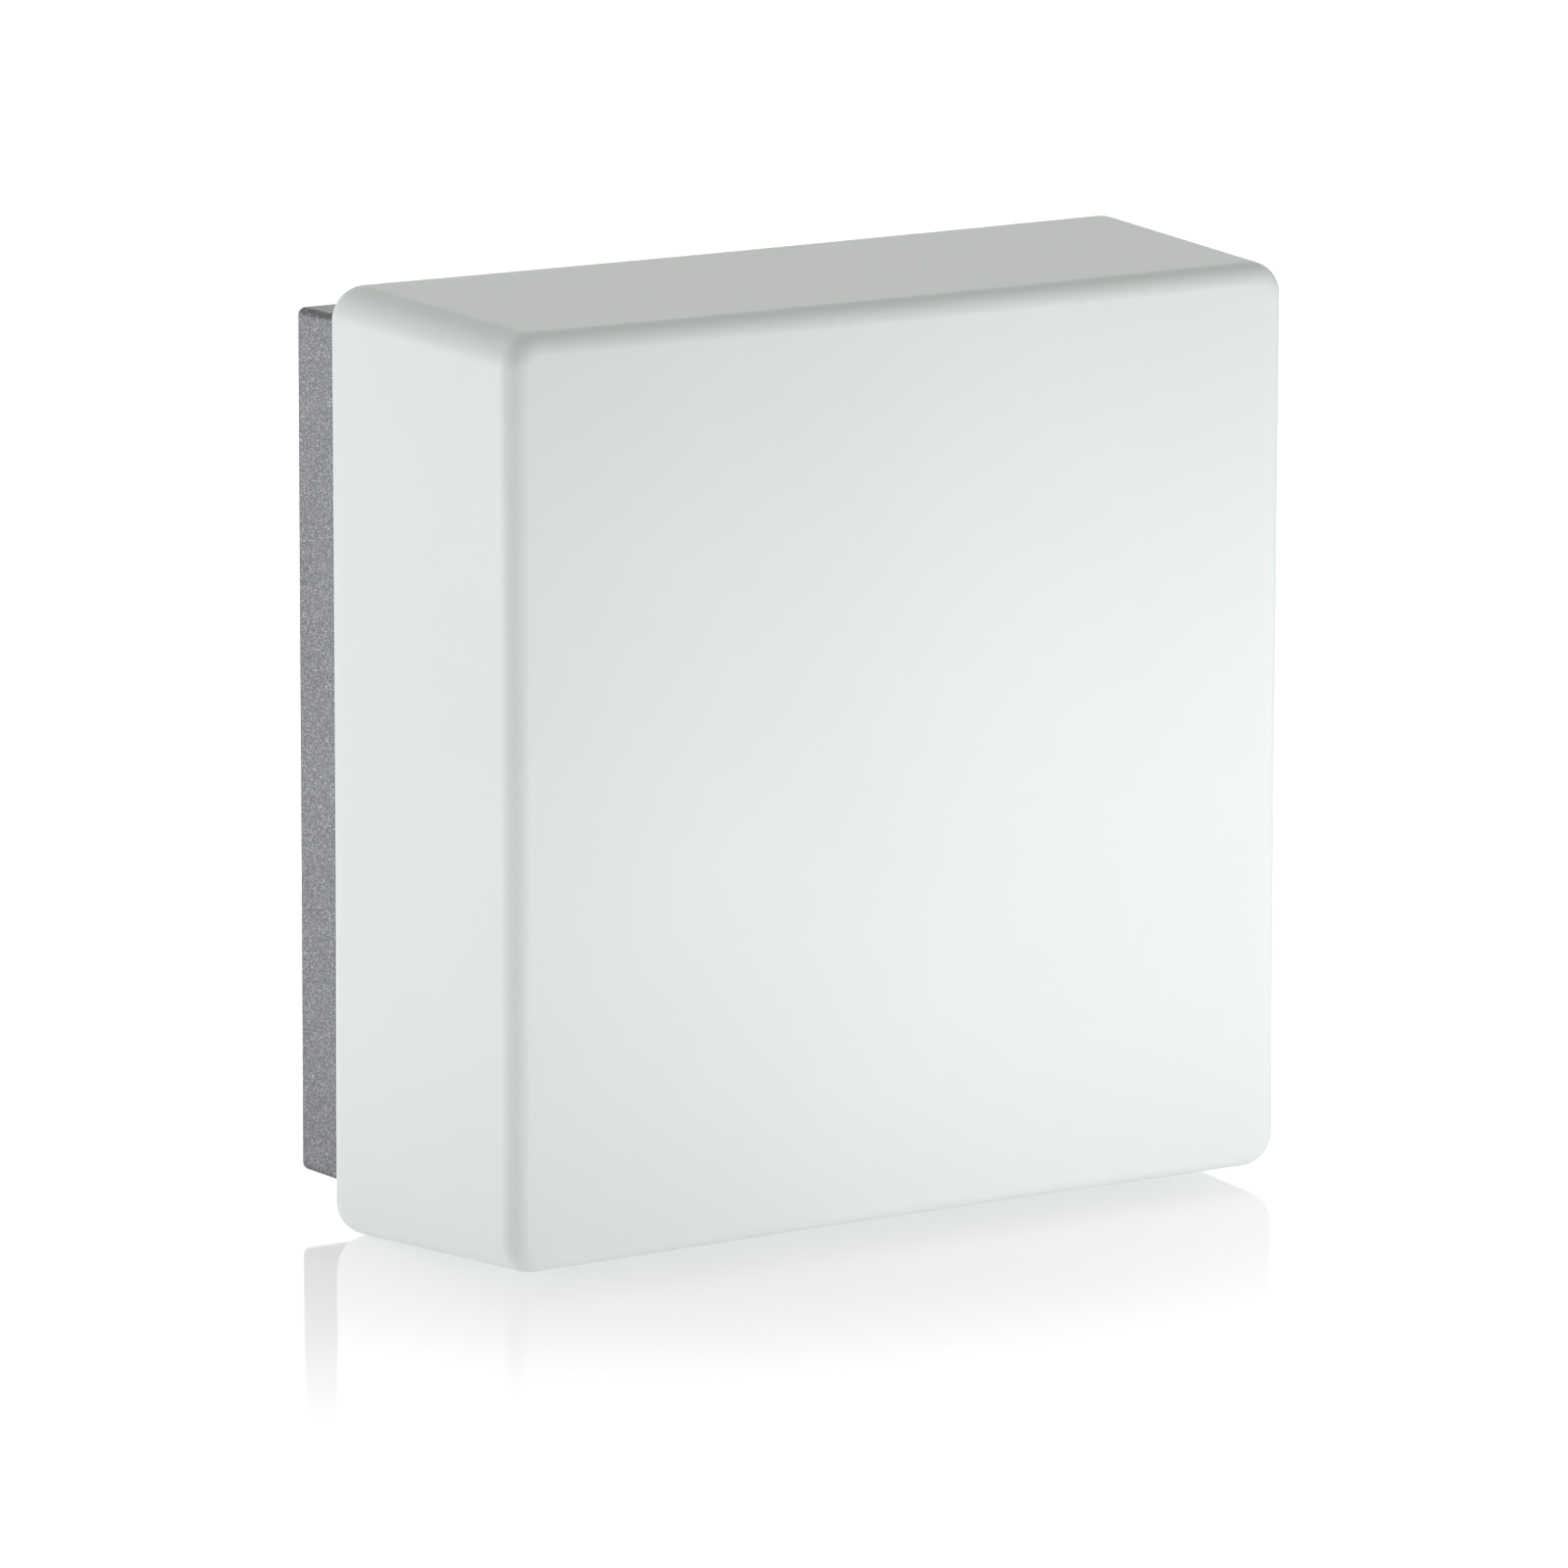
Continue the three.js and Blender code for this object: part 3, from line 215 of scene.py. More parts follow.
def pan_screws():
    """Each pan-head screw's node, with its sizes."""
    kinds = PAN_SCREWS.items()
    return [(node, sizes) for node in frame["nodes"] for kind, sizes in kinds if node.startswith(kind)]


BASE_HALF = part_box("base_housing")[1].x
BASE_DEPTH = depths("base_housing")[1]
TRAY_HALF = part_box("gear_tray")[1].x
TRAY_FRONT = depths("gear_tray")[1]
ENTRY = middle("cable_grommet")
LAMP_AXIS = middle("lampholder_upper")
LAMP_DEPTH = -LAMP_AXIS.y
LAMP_HEIGHT = LAMP_AXIS.z
# distances along a lamp's axis run from the lantern's middle
HOLDER_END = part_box("lampholder_lower")[1].x
HOLDER_MOUTH = HOLDER_END - HOLDER_LENGTH
LAMP_START = HOLDER_MOUTH + CAP_LENGTH
PORT_AT = HOLDER_END - HOLDER_BACK / 2
SHELL_INNER = CAP_RADIUS + CAP_PLAY
HOLDER_BORE = SHELL_INNER + SHELL_WALL + GAP


# ---- mesh helpers
def new_piece(name, vertices, faces):
    mesh = bpy.data.meshes.new(name)
    mesh.from_pydata([tuple(v) for v in vertices], [], faces)
    mesh.validate()
    tidy = bmesh.new()
    tidy.from_mesh(mesh)
    bmesh.ops.remove_doubles(tidy, verts=tidy.verts, dist=MERGE_DISTANCE)
    bmesh.ops.recalc_face_normals(tidy, faces=tidy.faces)
    tidy.to_mesh(mesh)
    tidy.free()
    piece = bpy.data.objects.new(name, mesh)
    bpy.context.scene.collection.objects.link(piece)
    return piece


def shade(piece, angle=SMOOTH_ANGLE):
    """Smooth shading that keeps hard edges and leaves flat faces flat."""
    mesh = piece.data
    mesh.polygons.foreach_set("use_smooth", [True] * len(mesh.polygons))
    mesh.set_sharp_from_angle(angle=angle)
    weighted = piece.modifiers.new("weighted normals", "WEIGHTED_NORMAL")
    weighted.keep_sharp = True
    return piece


def apply_modifiers(piece):
    bpy.context.view_layer.update()
    graph = bpy.context.evaluated_depsgraph_get()
    mesh = bpy.data.meshes.new_from_object(piece.evaluated_get(graph))
    piece.modifiers.clear()
    old = piece.data
    piece.data = mesh
    bpy.data.meshes.remove(old)


def join_tools(tools):
    """One object that holds several separate solids, so that they cut or join in a single step."""
    vertices, faces = [], []
    for tool in tools:
        first = len(vertices)
        vertices += [v.co.copy() for v in tool.data.vertices]
        faces += [[first + i for i in face.vertices] for face in tool.data.polygons]
        bpy.data.objects.remove(tool)
    return new_piece("tool", vertices, faces)


def carve(piece, joins=(), cuts=()):
    """The piece with the solids of `joins` joined to it, then those of `cuts` cut away."""
    tools = []
    for operation, parts in (("UNION", joins), ("DIFFERENCE", cuts)):
        if not parts:
            continue
        tool = join_tools(parts)
        step = piece.modifiers.new(operation, "BOOLEAN")
        step.operation = operation
        step.object = tool
        step.solver = "EXACT"
        tools.append(tool)
    apply_modifiers(piece)
    for tool in tools:
        bpy.data.objects.remove(tool)
    tidy = bmesh.new()
    tidy.from_mesh(piece.data)
    bmesh.ops.remove_doubles(tidy, verts=tidy.verts, dist=MERGE_DISTANCE)
    bmesh.ops.dissolve_degenerate(tidy, edges=tidy.edges, dist=MERGE_DISTANCE)
    tidy.to_mesh(piece.data)
    tidy.free()
    return piece


def rounded(points, radius, steps=4):
    """An outline with each corner turned into a curve, as large as its sides allow."""
    closed = points[0] == points[-1]
    corners = points[:-1] if closed else points
    result = []
    for i, corner in enumerate(corners):
        here = Vector(corner)
        if not closed and i in (0, len(corners) - 1):
            result.append(tuple(corner))
            continue
        back = Vector(corners[i - 1]) - here
        ahead = Vector(corners[(i + 1) % len(corners)]) - here
        half = back.angle(ahead) / 2
        reach = min(radius / math.tan(half), 0.45 * back.length, 0.45 * ahead.length)
        for step in range(steps + 1):
            share = step / steps
            point = here + back.normalized() * reach * (1 - share) ** 2
            point += ahead.normalized() * reach * share**2
            result.append(tuple(point))
    if closed:
        result.append(result[0])
    return result


def quarter_turn(steps):
    """The cosine and sine of evenly spaced angles from nothing to a right angle."""
    angles = [i / steps * TURN / 4 for i in range(steps + 1)]
    return [(math.cos(angle), math.sin(angle)) for angle in angles]


def stretch(radius, start, end, step):
    """Outline points close together along a straight stretch, for a thread to bend."""
    count = max(2, math.ceil(abs(end - start) / step))
    return [(radius, start + (end - start) * i / count) for i in range(count + 1)]


def facing(x=0.0, z=0.0):
    """The axis out of the wall through (x, z): a level there is a depth."""
    return lambda radius, angle, level: Vector(
        (x + radius * math.cos(angle), -level, z + radius * math.sin(angle))
    )


def upright(x, depth, up):
    """The axis along the wall's height at (x, depth): a level there is a height."""
    return lambda radius, angle, level: Vector(
        (x + radius * math.cos(angle), -depth + radius * math.sin(angle), up * level)
    )


def lamp_axis(up):
    """A lamp's axis, whose levels run from the lantern's middle towards the holder's own side."""
    return lambda radius, angle, level: Vector(
        (-up * level, -LAMP_DEPTH + radius * math.cos(angle), up * LAMP_HEIGHT + radius * math.sin(angle))
    )


def turned(name, outline, place, segments=48, relief=None):
    """A solid of revolution: its outline ends on the axis or closes. `relief` may move a radius."""
    closed = outline[0] == outline[-1]
    vertices, rows = [], []
    for radius, level in outline[:-1] if closed else outline:
        if radius == 0:
            rows.append([len(vertices)] * segments)
            vertices.append(place(0, 0, level))
            continue
        rows.append(list(range(len(vertices), len(vertices) + segments)))
        for i in range(segments):
            angle = i / segments * TURN
            moved = relief(radius, level, angle) if relief else radius
            vertices.append(place(moved, angle, level))
    if closed:
        rows.append(rows[0])
    faces = []
    for lower, upper in zip(rows, rows[1:]):
        for i in range(segments):
            j = (i + 1) % segments
            face = list(dict.fromkeys((lower[i], lower[j], upper[j], upper[i])))
            if len(face) > 2:
                faces.append(face)
    return new_piece(name, vertices, faces)


def rod(place, radius, start, end, segments=24):
    """A plain round tool along any axis."""
    return turned("rod", [(0, start), (radius, start), (radius, end), (0, end)], place, segments)


def pin(x, z, radius, start, end, segments=32):
    """A plain round tool along the axis out of the wall."""
    return rod(facing(x, z), radius, start, end, segments)


def thread(pitch, depth, start, end, least=0.0):
    """Relief that cuts a round thread between two levels, in radii larger than `least`."""

    def relief(radius, level, angle):
        if radius < least or not start < level < end:
            return radius
        fade = min(1, (level - start) / pitch, (end - level) / pitch)
        groove = 0.5 + 0.5 * math.cos(TURN * (level / pitch - angle / TURN))
        return radius - depth * groove * fade

    return relief


def hexagon(radius, angle, flat):
    """A radius limited by a hexagon's sides, which lie `flat` from its middle."""
    side = TURN / 6
    return min(radius, flat / math.cos((angle % side) - side / 2))


def square_ring(half, corner, depth, corner_steps=6, side_steps=1):
    """A ring of a square with round corners, square on to the wall, at one depth."""
    reach = half - corner
    ring = []
    for quarter in range(4):
        side_x = 1 if quarter in (0, 3) else -1
        side_z = 1 if quarter < 2 else -1
        start = quarter * TURN / 4
        for i in range(corner_steps + 1):
            angle = start + i / corner_steps * TURN / 4
            x = side_x * reach + corner * math.cos(angle)
            z = side_z * reach + corner * math.sin(angle)
            ring.append(Vector((x, -depth, z)))
        along = Vector((-math.sin(start + TURN / 4), 0, math.cos(start + TURN / 4)))
        last = ring[-1]
        for i in range(1, side_steps):
            ring.append(last + along * 2 * reach * i / side_steps)
    return ring


def loft(rings, close_ends=True):
    """Vertices and faces of a skin through rings of equal count. Each closed end is a fan to its middle."""
    count = len(rings[0])
    vertices = [v for ring in rings for v in ring]
    faces = []
    for r in range(len(rings) - 1):
        for i in range(count):
            a = r * count + i
            b = r * count + (i + 1) % count
            faces.append((a, b, b + count, a + count))
    if close_ends:
        for ring, first in ((rings[0], 0), (rings[-1], (len(rings) - 1) * count)):
            centre = len(vertices)
            vertices.append(sum(ring, Vector()) / count)
            faces += [(centre, first + i, first + (i + 1) % count) for i in range(count)]
    return vertices, faces


def square_solid(name, outline, corner, corner_steps=6):
    """A solid through the square rings of an outline of (half, depth). `corner` is the widest ring's."""
    widest = max(half for half, _ in outline)
    rings = [
        square_ring(half, max(corner - (widest - half), LEAST_CORNER), depth, corner_steps)
        for half, depth in outline
    ]
    return new_piece(name, *loft(rings))


def square_tube(name, outer, inner, outer_corner, inner_corner, start, end):
    """A square frame, such as a seal, with softened edges."""
    edge = 0.25 * (end - start)
    outside = [(outer - edge, start), (outer, start + edge), (outer, end - edge), (outer - edge, end)]
    inside = [(inner + edge, end), (inner, end - edge), (inner, start + edge), (inner + edge, start)]
    rings = [square_ring(half, outer_corner, depth) for half, depth in outside]
    rings += [square_ring(half, inner_corner, depth) for half, depth in inside]
    return new_piece(name, *loft(rings + [rings[0]], close_ends=False))


def block(low, high):
    """A plain rectangular tool."""
    (x0, y0, z0), (x1, y1, z1) = low, high
    vertices = [(x, y, z) for x in (x0, x1) for y in (y0, y1) for z in (z0, z1)]
    faces = [(0, 1, 3, 2), (4, 6, 7, 5), (0, 4, 5, 1), (2, 3, 7, 6), (0, 2, 6, 4), (1, 5, 7, 3)]
    return new_piece("block", vertices, faces)


# ---- materials
def plain(name, colour, roughness, metallic=0.0, **sockets):
    material = bpy.data.materials.new(name)
    material.use_nodes = True
    shader = material.node_tree.nodes["Principled BSDF"]
    shader.inputs["Base Color"].default_value = (*colour, 1)
    shader.inputs["Roughness"].default_value = roughness
    shader.inputs["Metallic"].default_value = metallic
    for socket, value in sockets.items():
        shader.inputs[socket.replace("_", " ")].default_value = value
    return material


def parts(material):
    tree = material.node_tree
    return tree.nodes, tree.links, tree.nodes["Principled BSDF"]


def position(nodes, links, scale):
    """The object's own coordinates times a scale, for procedural textures."""
    coordinates = nodes.new("ShaderNodeTexCoord")
    mapping = nodes.new("ShaderNodeMapping")
    mapping.inputs["Scale"].default_value = (scale, scale, scale)
    links.new(coordinates.outputs["Object"], mapping.inputs["Vector"])
    return mapping.outputs["Vector"]


def colour_ramp(nodes, *stops):
    """A ramp through stops of (position, colour)."""
    ramp = nodes.new("ShaderNodeValToRGB")
    elements = ramp.color_ramp.elements
    for number, (place, colour) in enumerate(stops):
        stop = elements[number] if number < 2 else elements.new(place)
        stop.position, stop.color = place, (*colour, 1)
    return ramp


def noise_texture(nodes, links, scale, detail):
    texture = nodes.new("ShaderNodeTexNoise")
    texture.inputs["Scale"].default_value = 1
    texture.inputs["Detail"].default_value = detail
    links.new(position(nodes, links, scale), texture.inputs["Vector"])
    return texture.outputs["Fac"]


def vary_colour(material, dark, light, scale):
    """Slow changes of colour between two values."""
    nodes, links, shader = parts(material)
    ramp = colour_ramp(nodes, (0.35, dark), (0.65, light))
    links.new(noise_texture(nodes, links, scale, 4), ramp.inputs["Fac"])
    links.new(ramp.outputs["Color"], shader.inputs["Base Color"])
    return material


def vary_roughness(material, low, high, scale):
    nodes, links, shader = parts(material)
    spread = nodes.new("ShaderNodeMapRange")
    spread.inputs["To Min"].default_value = low
    spread.inputs["To Max"].default_value = high
    links.new(noise_texture(nodes, links, scale, 5), spread.inputs["Value"])
    links.new(spread.outputs["Result"], shader.inputs["Roughness"])
    return material


def bump(material, scale, height, strength):
    """Fine relief: `height` is in metres."""
    nodes, links, shader = parts(material)
    relief = nodes.new("ShaderNodeBump")
    relief.inputs["Strength"].default_value = strength
    relief.inputs["Distance"].default_value = height
    links.new(noise_texture(nodes, links, scale, 3), relief.inputs["Height"])
    links.new(relief.outputs["Normal"], shader.inputs["Normal"])
    return material


def milky(weight, scale):
    """Sockets for glass that scatters light below its surface."""
    return {"Subsurface_Weight": weight, "Subsurface_Radius": (1.0, 1.0, 1.0), "Subsurface_Scale": scale}


def opal_glass():
    """Satin-etched white glass with a faint blue-green body."""
    material = plain("satin opal glass", (0.80, 0.83, 0.825), 0.54, IOR=1.5, **milky(0.55, 2 * MM))
    vary_colour(material, (0.80, 0.835, 0.842), (0.815, 0.852, 0.86), 9)
    vary_roughness(material, 0.50, 0.58, 60)
    return bump(material, 1800, 0.01 * MM, 0.3)


def powder_coat():
    """Fine-textured grey coat with small scattered metal flakes."""
    material = plain("silver powder coat", (0.2, 0.2, 0.2), 0.48, 0.5)
    nodes, links, shader = parts(material)
    cells = nodes.new("ShaderNodeTexVoronoi")
    cells.inputs["Scale"].default_value = 1
    split = nodes.new("ShaderNodeSeparateColor")
    flakes = colour_ramp(nodes, (0.6, (0.14, 0.144, 0.156)), (1.0, (0.44, 0.448, 0.47)))
    relief = nodes.new("ShaderNodeBump")
    relief.inputs["Strength"].default_value = 0.5
    relief.inputs["Distance"].default_value = 0.03 * MM
    links.new(position(nodes, links, 2600), cells.inputs["Vector"])
    links.new(cells.outputs["Color"], split.inputs["Color"])
    links.new(split.outputs["Red"], flakes.inputs["Fac"])
    links.new(flakes.outputs["Color"], shader.inputs["Base Color"])
    links.new(split.outputs["Green"], relief.inputs["Height"])
    links.new(relief.outputs["Normal"], shader.inputs["Normal"])
    return vary_roughness(material, 0.42, 0.54, 40)


def striped_lead():
    """Green sheath with a yellow stripe down each side."""
    material = plain("earth lead", (0.1, 0.35, 0.05), 0.45)
    nodes, links, shader = parts(material)
    surface = nodes.new("ShaderNodeNewGeometry")
    split = nodes.new("ShaderNodeSeparateXYZ")
    sideways = nodes.new("ShaderNodeMath")
    sideways.operation = "ABSOLUTE"
    stripes = colour_ramp(nodes, (0, (0.08, 0.32, 0.06)), (0.35, (0.80, 0.68, 0.05)))
    stripes.color_ramp.interpolation = "CONSTANT"
    links.new(surface.outputs["Normal"], split.inputs["Vector"])
    links.new(split.outputs["X"], sideways.inputs[0])
    links.new(sideways.outputs["Value"], stripes.inputs["Fac"])
    links.new(stripes.outputs["Color"], shader.inputs["Base Color"])
    vary_roughness(material, 0.38, 0.52, 600)
    return bump(material, 900, 0.02 * MM, 0.3)


def metal(name, colour, roughness):
    """Metal whose colour and polish change slowly, as handled metal does, over fine scratches."""
    material = plain(name, colour, roughness, 1.0)
    vary_colour(material, [0.88 * c for c in colour], colour, 180)
    vary_roughness(material, roughness * 0.75, roughness * 1.3, 900)
    return bump(material, 2500, 0.01 * MM, 0.25)


def mottled(name, dark, light, roughness, colour_scale, bump_scale, height, strength=0.5, **sockets):
    """A material whose colour changes slowly between two values, over fine relief."""
    material = plain(name, light, roughness, **sockets)
    vary_colour(material, dark, light, colour_scale)
    vary_roughness(material, roughness * 0.85, roughness * 1.15, colour_scale * 4)
    return bump(material, bump_scale, height, strength)


def lamp_glass():
    colours = (0.83, 0.83, 0.80), (0.86, 0.86, 0.83)
    return mottled("lamp glass", *colours, 0.3, 30, 600, 0.01 * MM, 0.2, **milky(0.6, 1.5 * MM))


def porcelain():
    colours = (0.76, 0.74, 0.69), (0.82, 0.80, 0.76)
    glaze = {"Coat_Weight": 0.6, "Coat_Roughness": 0.05}
    return mottled("porcelain", *colours, 0.16, 70, 500, 0.02 * MM, 0.3, **glaze)


def gloss(name, dark, light, roughness, colour_scale, bump_scale):
    """The usual fine relief over colours that vary."""
    return mottled(name, dark, light, roughness, colour_scale, bump_scale, 0.02 * MM)


MATERIALS = {
    "opal_glass": opal_glass(),
    "silver_coat": powder_coat(),
    "silicone": gloss("silicone", (0.60, 0.62, 0.60), (0.66, 0.68, 0.66), 0.45, 200, 900),
    "black_rubber": mottled("rubber", (0.016, 0.016, 0.017), (0.03, 0.03, 0.031), 0.7, 120, 1500, 0.03 * MM),
    "white_paint": gloss("reflector paint", (0.76, 0.76, 0.74), (0.82, 0.82, 0.80), 0.4, 25, 1200),
    "steel": metal("steel", (0.55, 0.56, 0.57), 0.28),
    "brass": metal("brass", (0.75, 0.55, 0.24), 0.26),
    "porcelain": porcelain(),
    "nylon": gloss("nylon", (0.72, 0.69, 0.61), (0.77, 0.74, 0.67), 0.45, 200, 1500),
    "lamp_glass": lamp_glass(),
    "lamp_metal": metal("rolled aluminium", (0.66, 0.67, 0.68), 0.3),
    "black_glass": gloss("black glass", (0.01, 0.01, 0.012), (0.018, 0.018, 0.022), 0.12, 300, 400),
    "brown_lead": gloss("brown lead", (0.10, 0.04, 0.018), (0.13, 0.055, 0.026), 0.42, 150, 900),
    "blue_lead": gloss("blue lead", (0.018, 0.075, 0.28), (0.028, 0.10, 0.34), 0.42, 150, 900),
    "earth_green": striped_lead(),
    "white_plastic": gloss("polyamide", (0.72, 0.72, 0.68), (0.78, 0.78, 0.75), 0.45, 60, 1500),
}


def dress(piece, slot, body, *nodes):
    """Gives a new piece its material and its body, and hides the CAD nodes that it stands for."""
    piece.data.materials.append(MATERIALS[slot])
    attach(piece, body)
    if nodes:
        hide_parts(*nodes)
    return piece


# ---- glass shade
def draw_in(ring, half, weight):
    """Pulls each side of a ring in towards its middle, as a blown face sinks."""
    for point in ring:
        across, along = (0, 2) if abs(point.x) > abs(point.z) else (2, 0)
        sink = max(0, 1 - (point[along] / half) ** 2)
        point[across] -= math.copysign(GLASS_SAG * weight * sink, point[across])
    return ring


def glass_outline(inset):
    """Rings as (depth, half, corner, sag), from the neck's end to the front edge, set in by `inset`."""
    neck_end, front_face = depths("glass_shade")
    front = front_face - inset
    shoulder = front_face - GLASS_DEPTH + inset
    half, neck_half = GLASS_HALF - inset, NECK_HALF - inset
    rear, edge = REAR_EDGE - inset, FRONT_EDGE - inset
    corner, neck_corner = GLASS_CORNER - inset, NECK_CORNER - inset
    lip = GLASS_LIP * (1 if inset == 0 else -0.5)  # rounded inwards outside, and outwards inside
    arc_steps, side_rings = 10, 14
    neck_start = neck_end + abs(lip)
    rows = [(neck_end, neck_half - lip, neck_corner - lip, 0)]
    rows += [(neck_start + (shoulder - neck_start) * i / 2, neck_half, neck_corner, 0) for i in range(3)]
    start_corner = max(corner - rear, LEAST_CORNER)
    for share in (1 / 3, 2 / 3):
        flat_half = neck_half + (half - rear - neck_half) * share
        flat_corner = neck_corner + (start_corner - neck_corner) * share
        rows.append((shoulder, flat_half, flat_corner, 0))
    for i, (cosine, sine) in enumerate(quarter_turn(arc_steps)):
        inward = rear * (1 - sine)
        ring_corner = max(corner - inward, LEAST_CORNER)
        rows.append((shoulder + rear * (1 - cosine), half - inward, ring_corner, i / arc_steps))
    side_start, side_end = shoulder + rear, front - edge
    for i in range(1, side_rings):
        share = i / side_rings
        rows.append((side_start + (side_end - side_start) * share, half - GLASS_DRAFT * share, corner, 1))
    for cosine, sine in quarter_turn(arc_steps):
        inward = edge * (1 - cosine)
        rows.append((front - edge * (1 - sine), half - GLASS_DRAFT - inward, corner - inward, 1))
    return rows


def glass_skin(inset):
    """Rings over the whole of one face of the glass, to the middle of its front."""
    face_rings = 16
    rings = [
        draw_in(square_ring(half, corner, depth, 10, 16), half, sag)
        for depth, half, corner, sag in glass_outline(inset)
    ]
    edge_ring = rings.pop()
    face_half = max(point.x for point in edge_ring)
    for i in range(face_rings):
        share = 1 - i / face_rings
        ring = [Vector((p.x * share, p.y, p.z * share)) for p in edge_ring]
        for point in ring:
            sink = max(0, 1 - (point.x / face_half) ** 2) * max(0, 1 - (point.z / face_half) ** 2)
            point.y += GLASS_SAG * sink
        rings.append(ring)
    return rings


def glass_shade():
    """The mouth-blown box: two skins that sink and wave a little, joined round the neck's lip."""
    rings = list(reversed(glass_skin(GLASS_WALL))) + glass_skin(0)
    for ring in rings:
        for point in ring:
            wave = GLASS_WAVE * (noise.noise(point * 14) * 0.5 + 0.5)
            point.x -= math.copysign(min(wave, abs(point.x)), point.x)
            point.z -= math.copysign(min(wave, abs(point.z)), point.z)
            point.y += wave if -point.y > BASE_DEPTH * 2 else 0
    piece = shade(new_piece("opal_glass_box", *loft(rings)), GLASS_SMOOTH_ANGLE)
    return dress(piece, "opal_glass", "glass", "glass_shade")


# ---- base housing
def base_shell():
    """The casting's outside, rounded round its back, with its cavity and the mouth in its front."""
    outline = [
        (BASE_HALF - BASE_BACK_EDGE * (1 - sine), BASE_BACK_EDGE * (1 - cosine))
        for cosine, sine in quarter_turn(8)
    ]
    for inward, back in ((0, 1), (0.3, 0.3), (1, 0)):
        outline.append((BASE_HALF - inward * BASE_FRONT_EDGE, BASE_DEPTH - back * BASE_FRONT_EDGE))
    shell = square_solid("base_casting", outline, BASE_CORNER, 8)
    wall = BASE_HALF - BASE_WALL
    cavity = [(wall - 2 * MM, BASE_FLOOR), (wall - 0.6 * MM, BASE_FLOOR + 0.6 * MM)]
    cavity += [(wall, BASE_FLOOR + 2 * MM), (wall, BASE_DEPTH - RIM_THICKNESS)]
    shell = carve(shell, cuts=[square_solid("cavity", cavity, CAVITY_CORNER)])
    rim = BASE_HALF - RIM_WIDTH
    mouth = [(rim, BASE_DEPTH - RIM_THICKNESS - MM), (rim, BASE_DEPTH + MM)]
    return carve(shell, cuts=[square_solid("mouth", mouth, NECK_CORNER)])


def base_bosses():
    """Seats, pad, screw pillars and lugs that stand inside the casting."""
    entry_pad = ENTRY_RADIUS + GROMMET_FLANGE_WIDTH + ENTRY_PAD_WIDTH
    solids = [pin(ENTRY.x, ENTRY.z, entry_pad, MM, BASE_FLOOR + ENTRY_PAD_HEIGHT, 64)]
    for side in SIDES:
        x = middle(f"fixing_bush_{side}").x
        solids.append(pin(x, 0, BUSH_RADIUS + SEAT_WIDTH, MM, BASE_FLOOR + SEAT_HEIGHT, 48))
    for label, up in CORNERS.items():
        screw = middle(f"tray_screw_{label}")
        boss = PAN_SCREWS["tray_screw_"][0] + GAP + BOSS_WALL
        solids.append(pin(screw.x, screw.z, boss, MM, TRAY_FRONT - SHEET - GAP))
        thumb = middle(f"retaining_screw_{label}")
        ends = up * (BASE_HALF - RIM_WIDTH + LUG_SETBACK), up * (BASE_HALF - BASE_WALL / 2)
        near, far = sorted(ends)
        half = SCREW_LUG / 2
        front = BASE_DEPTH - RIM_THICKNESS / 2
        solids.append(block((thumb.x - half, -front, near), (thumb.x + half, thumb.y + half, far)))
    return solids


def base_holes():
    """The cable entry, the drain, and the holes of the bushes and screws."""
    solids = [
        pin(ENTRY.x, ENTRY.z, ENTRY_RADIUS + GAP, -MM, BASE_DEPTH, 64),
        rod(upright(0, DRAIN_LEVEL, -1), DRAIN_RADIUS, BASE_HALF - 2 * BASE_WALL, BASE_HALF + MM),
    ]
    for side in SIDES:
        solids.append(pin(middle(f"fixing_bush_{side}").x, 0, BUSH_RADIUS + GAP, -MM, BASE_DEPTH, 40))
    for label, up in CORNERS.items():
        screw = middle(f"tray_screw_{label}")
        start = depths(f"tray_screw_{label}")[0] - MM
        solids.append(pin(screw.x, screw.z, PAN_SCREWS["tray_screw_"][0] + GAP, start, BASE_DEPTH, 24))
        thumb = middle(f"retaining_screw_{label}")
        axis = upright(thumb.x, -thumb.y, up)
        solids.append(rod(axis, SCREW_SHANK + GAP, BASE_HALF - 2 * RIM_WIDTH, BASE_HALF + MM))
    return solids


def base_housing():
    piece = carve(base_shell(), base_bosses(), base_holes())
    recess_radius = ENTRY_RADIUS + GROMMET_FLANGE_WIDTH + GAP
    recess = pin(ENTRY.x, ENTRY.z, recess_radius, -MM, GROMMET_FLANGE + GAP, 64)
    outer = BASE_HALF - SEAL_INSET
    sizes = outer + GAP, outer - SEAL_WIDTH - GAP, SEAL_CORNER + GAP, SEAL_CORNER / 2
    groove = square_tube("groove", *sizes, -2 * MM, SEAL_GROOVE + GAP)
    piece = carve(piece, cuts=[recess, groove])
    return dress(shade(piece), "silver_coat", "base", "base_housing")


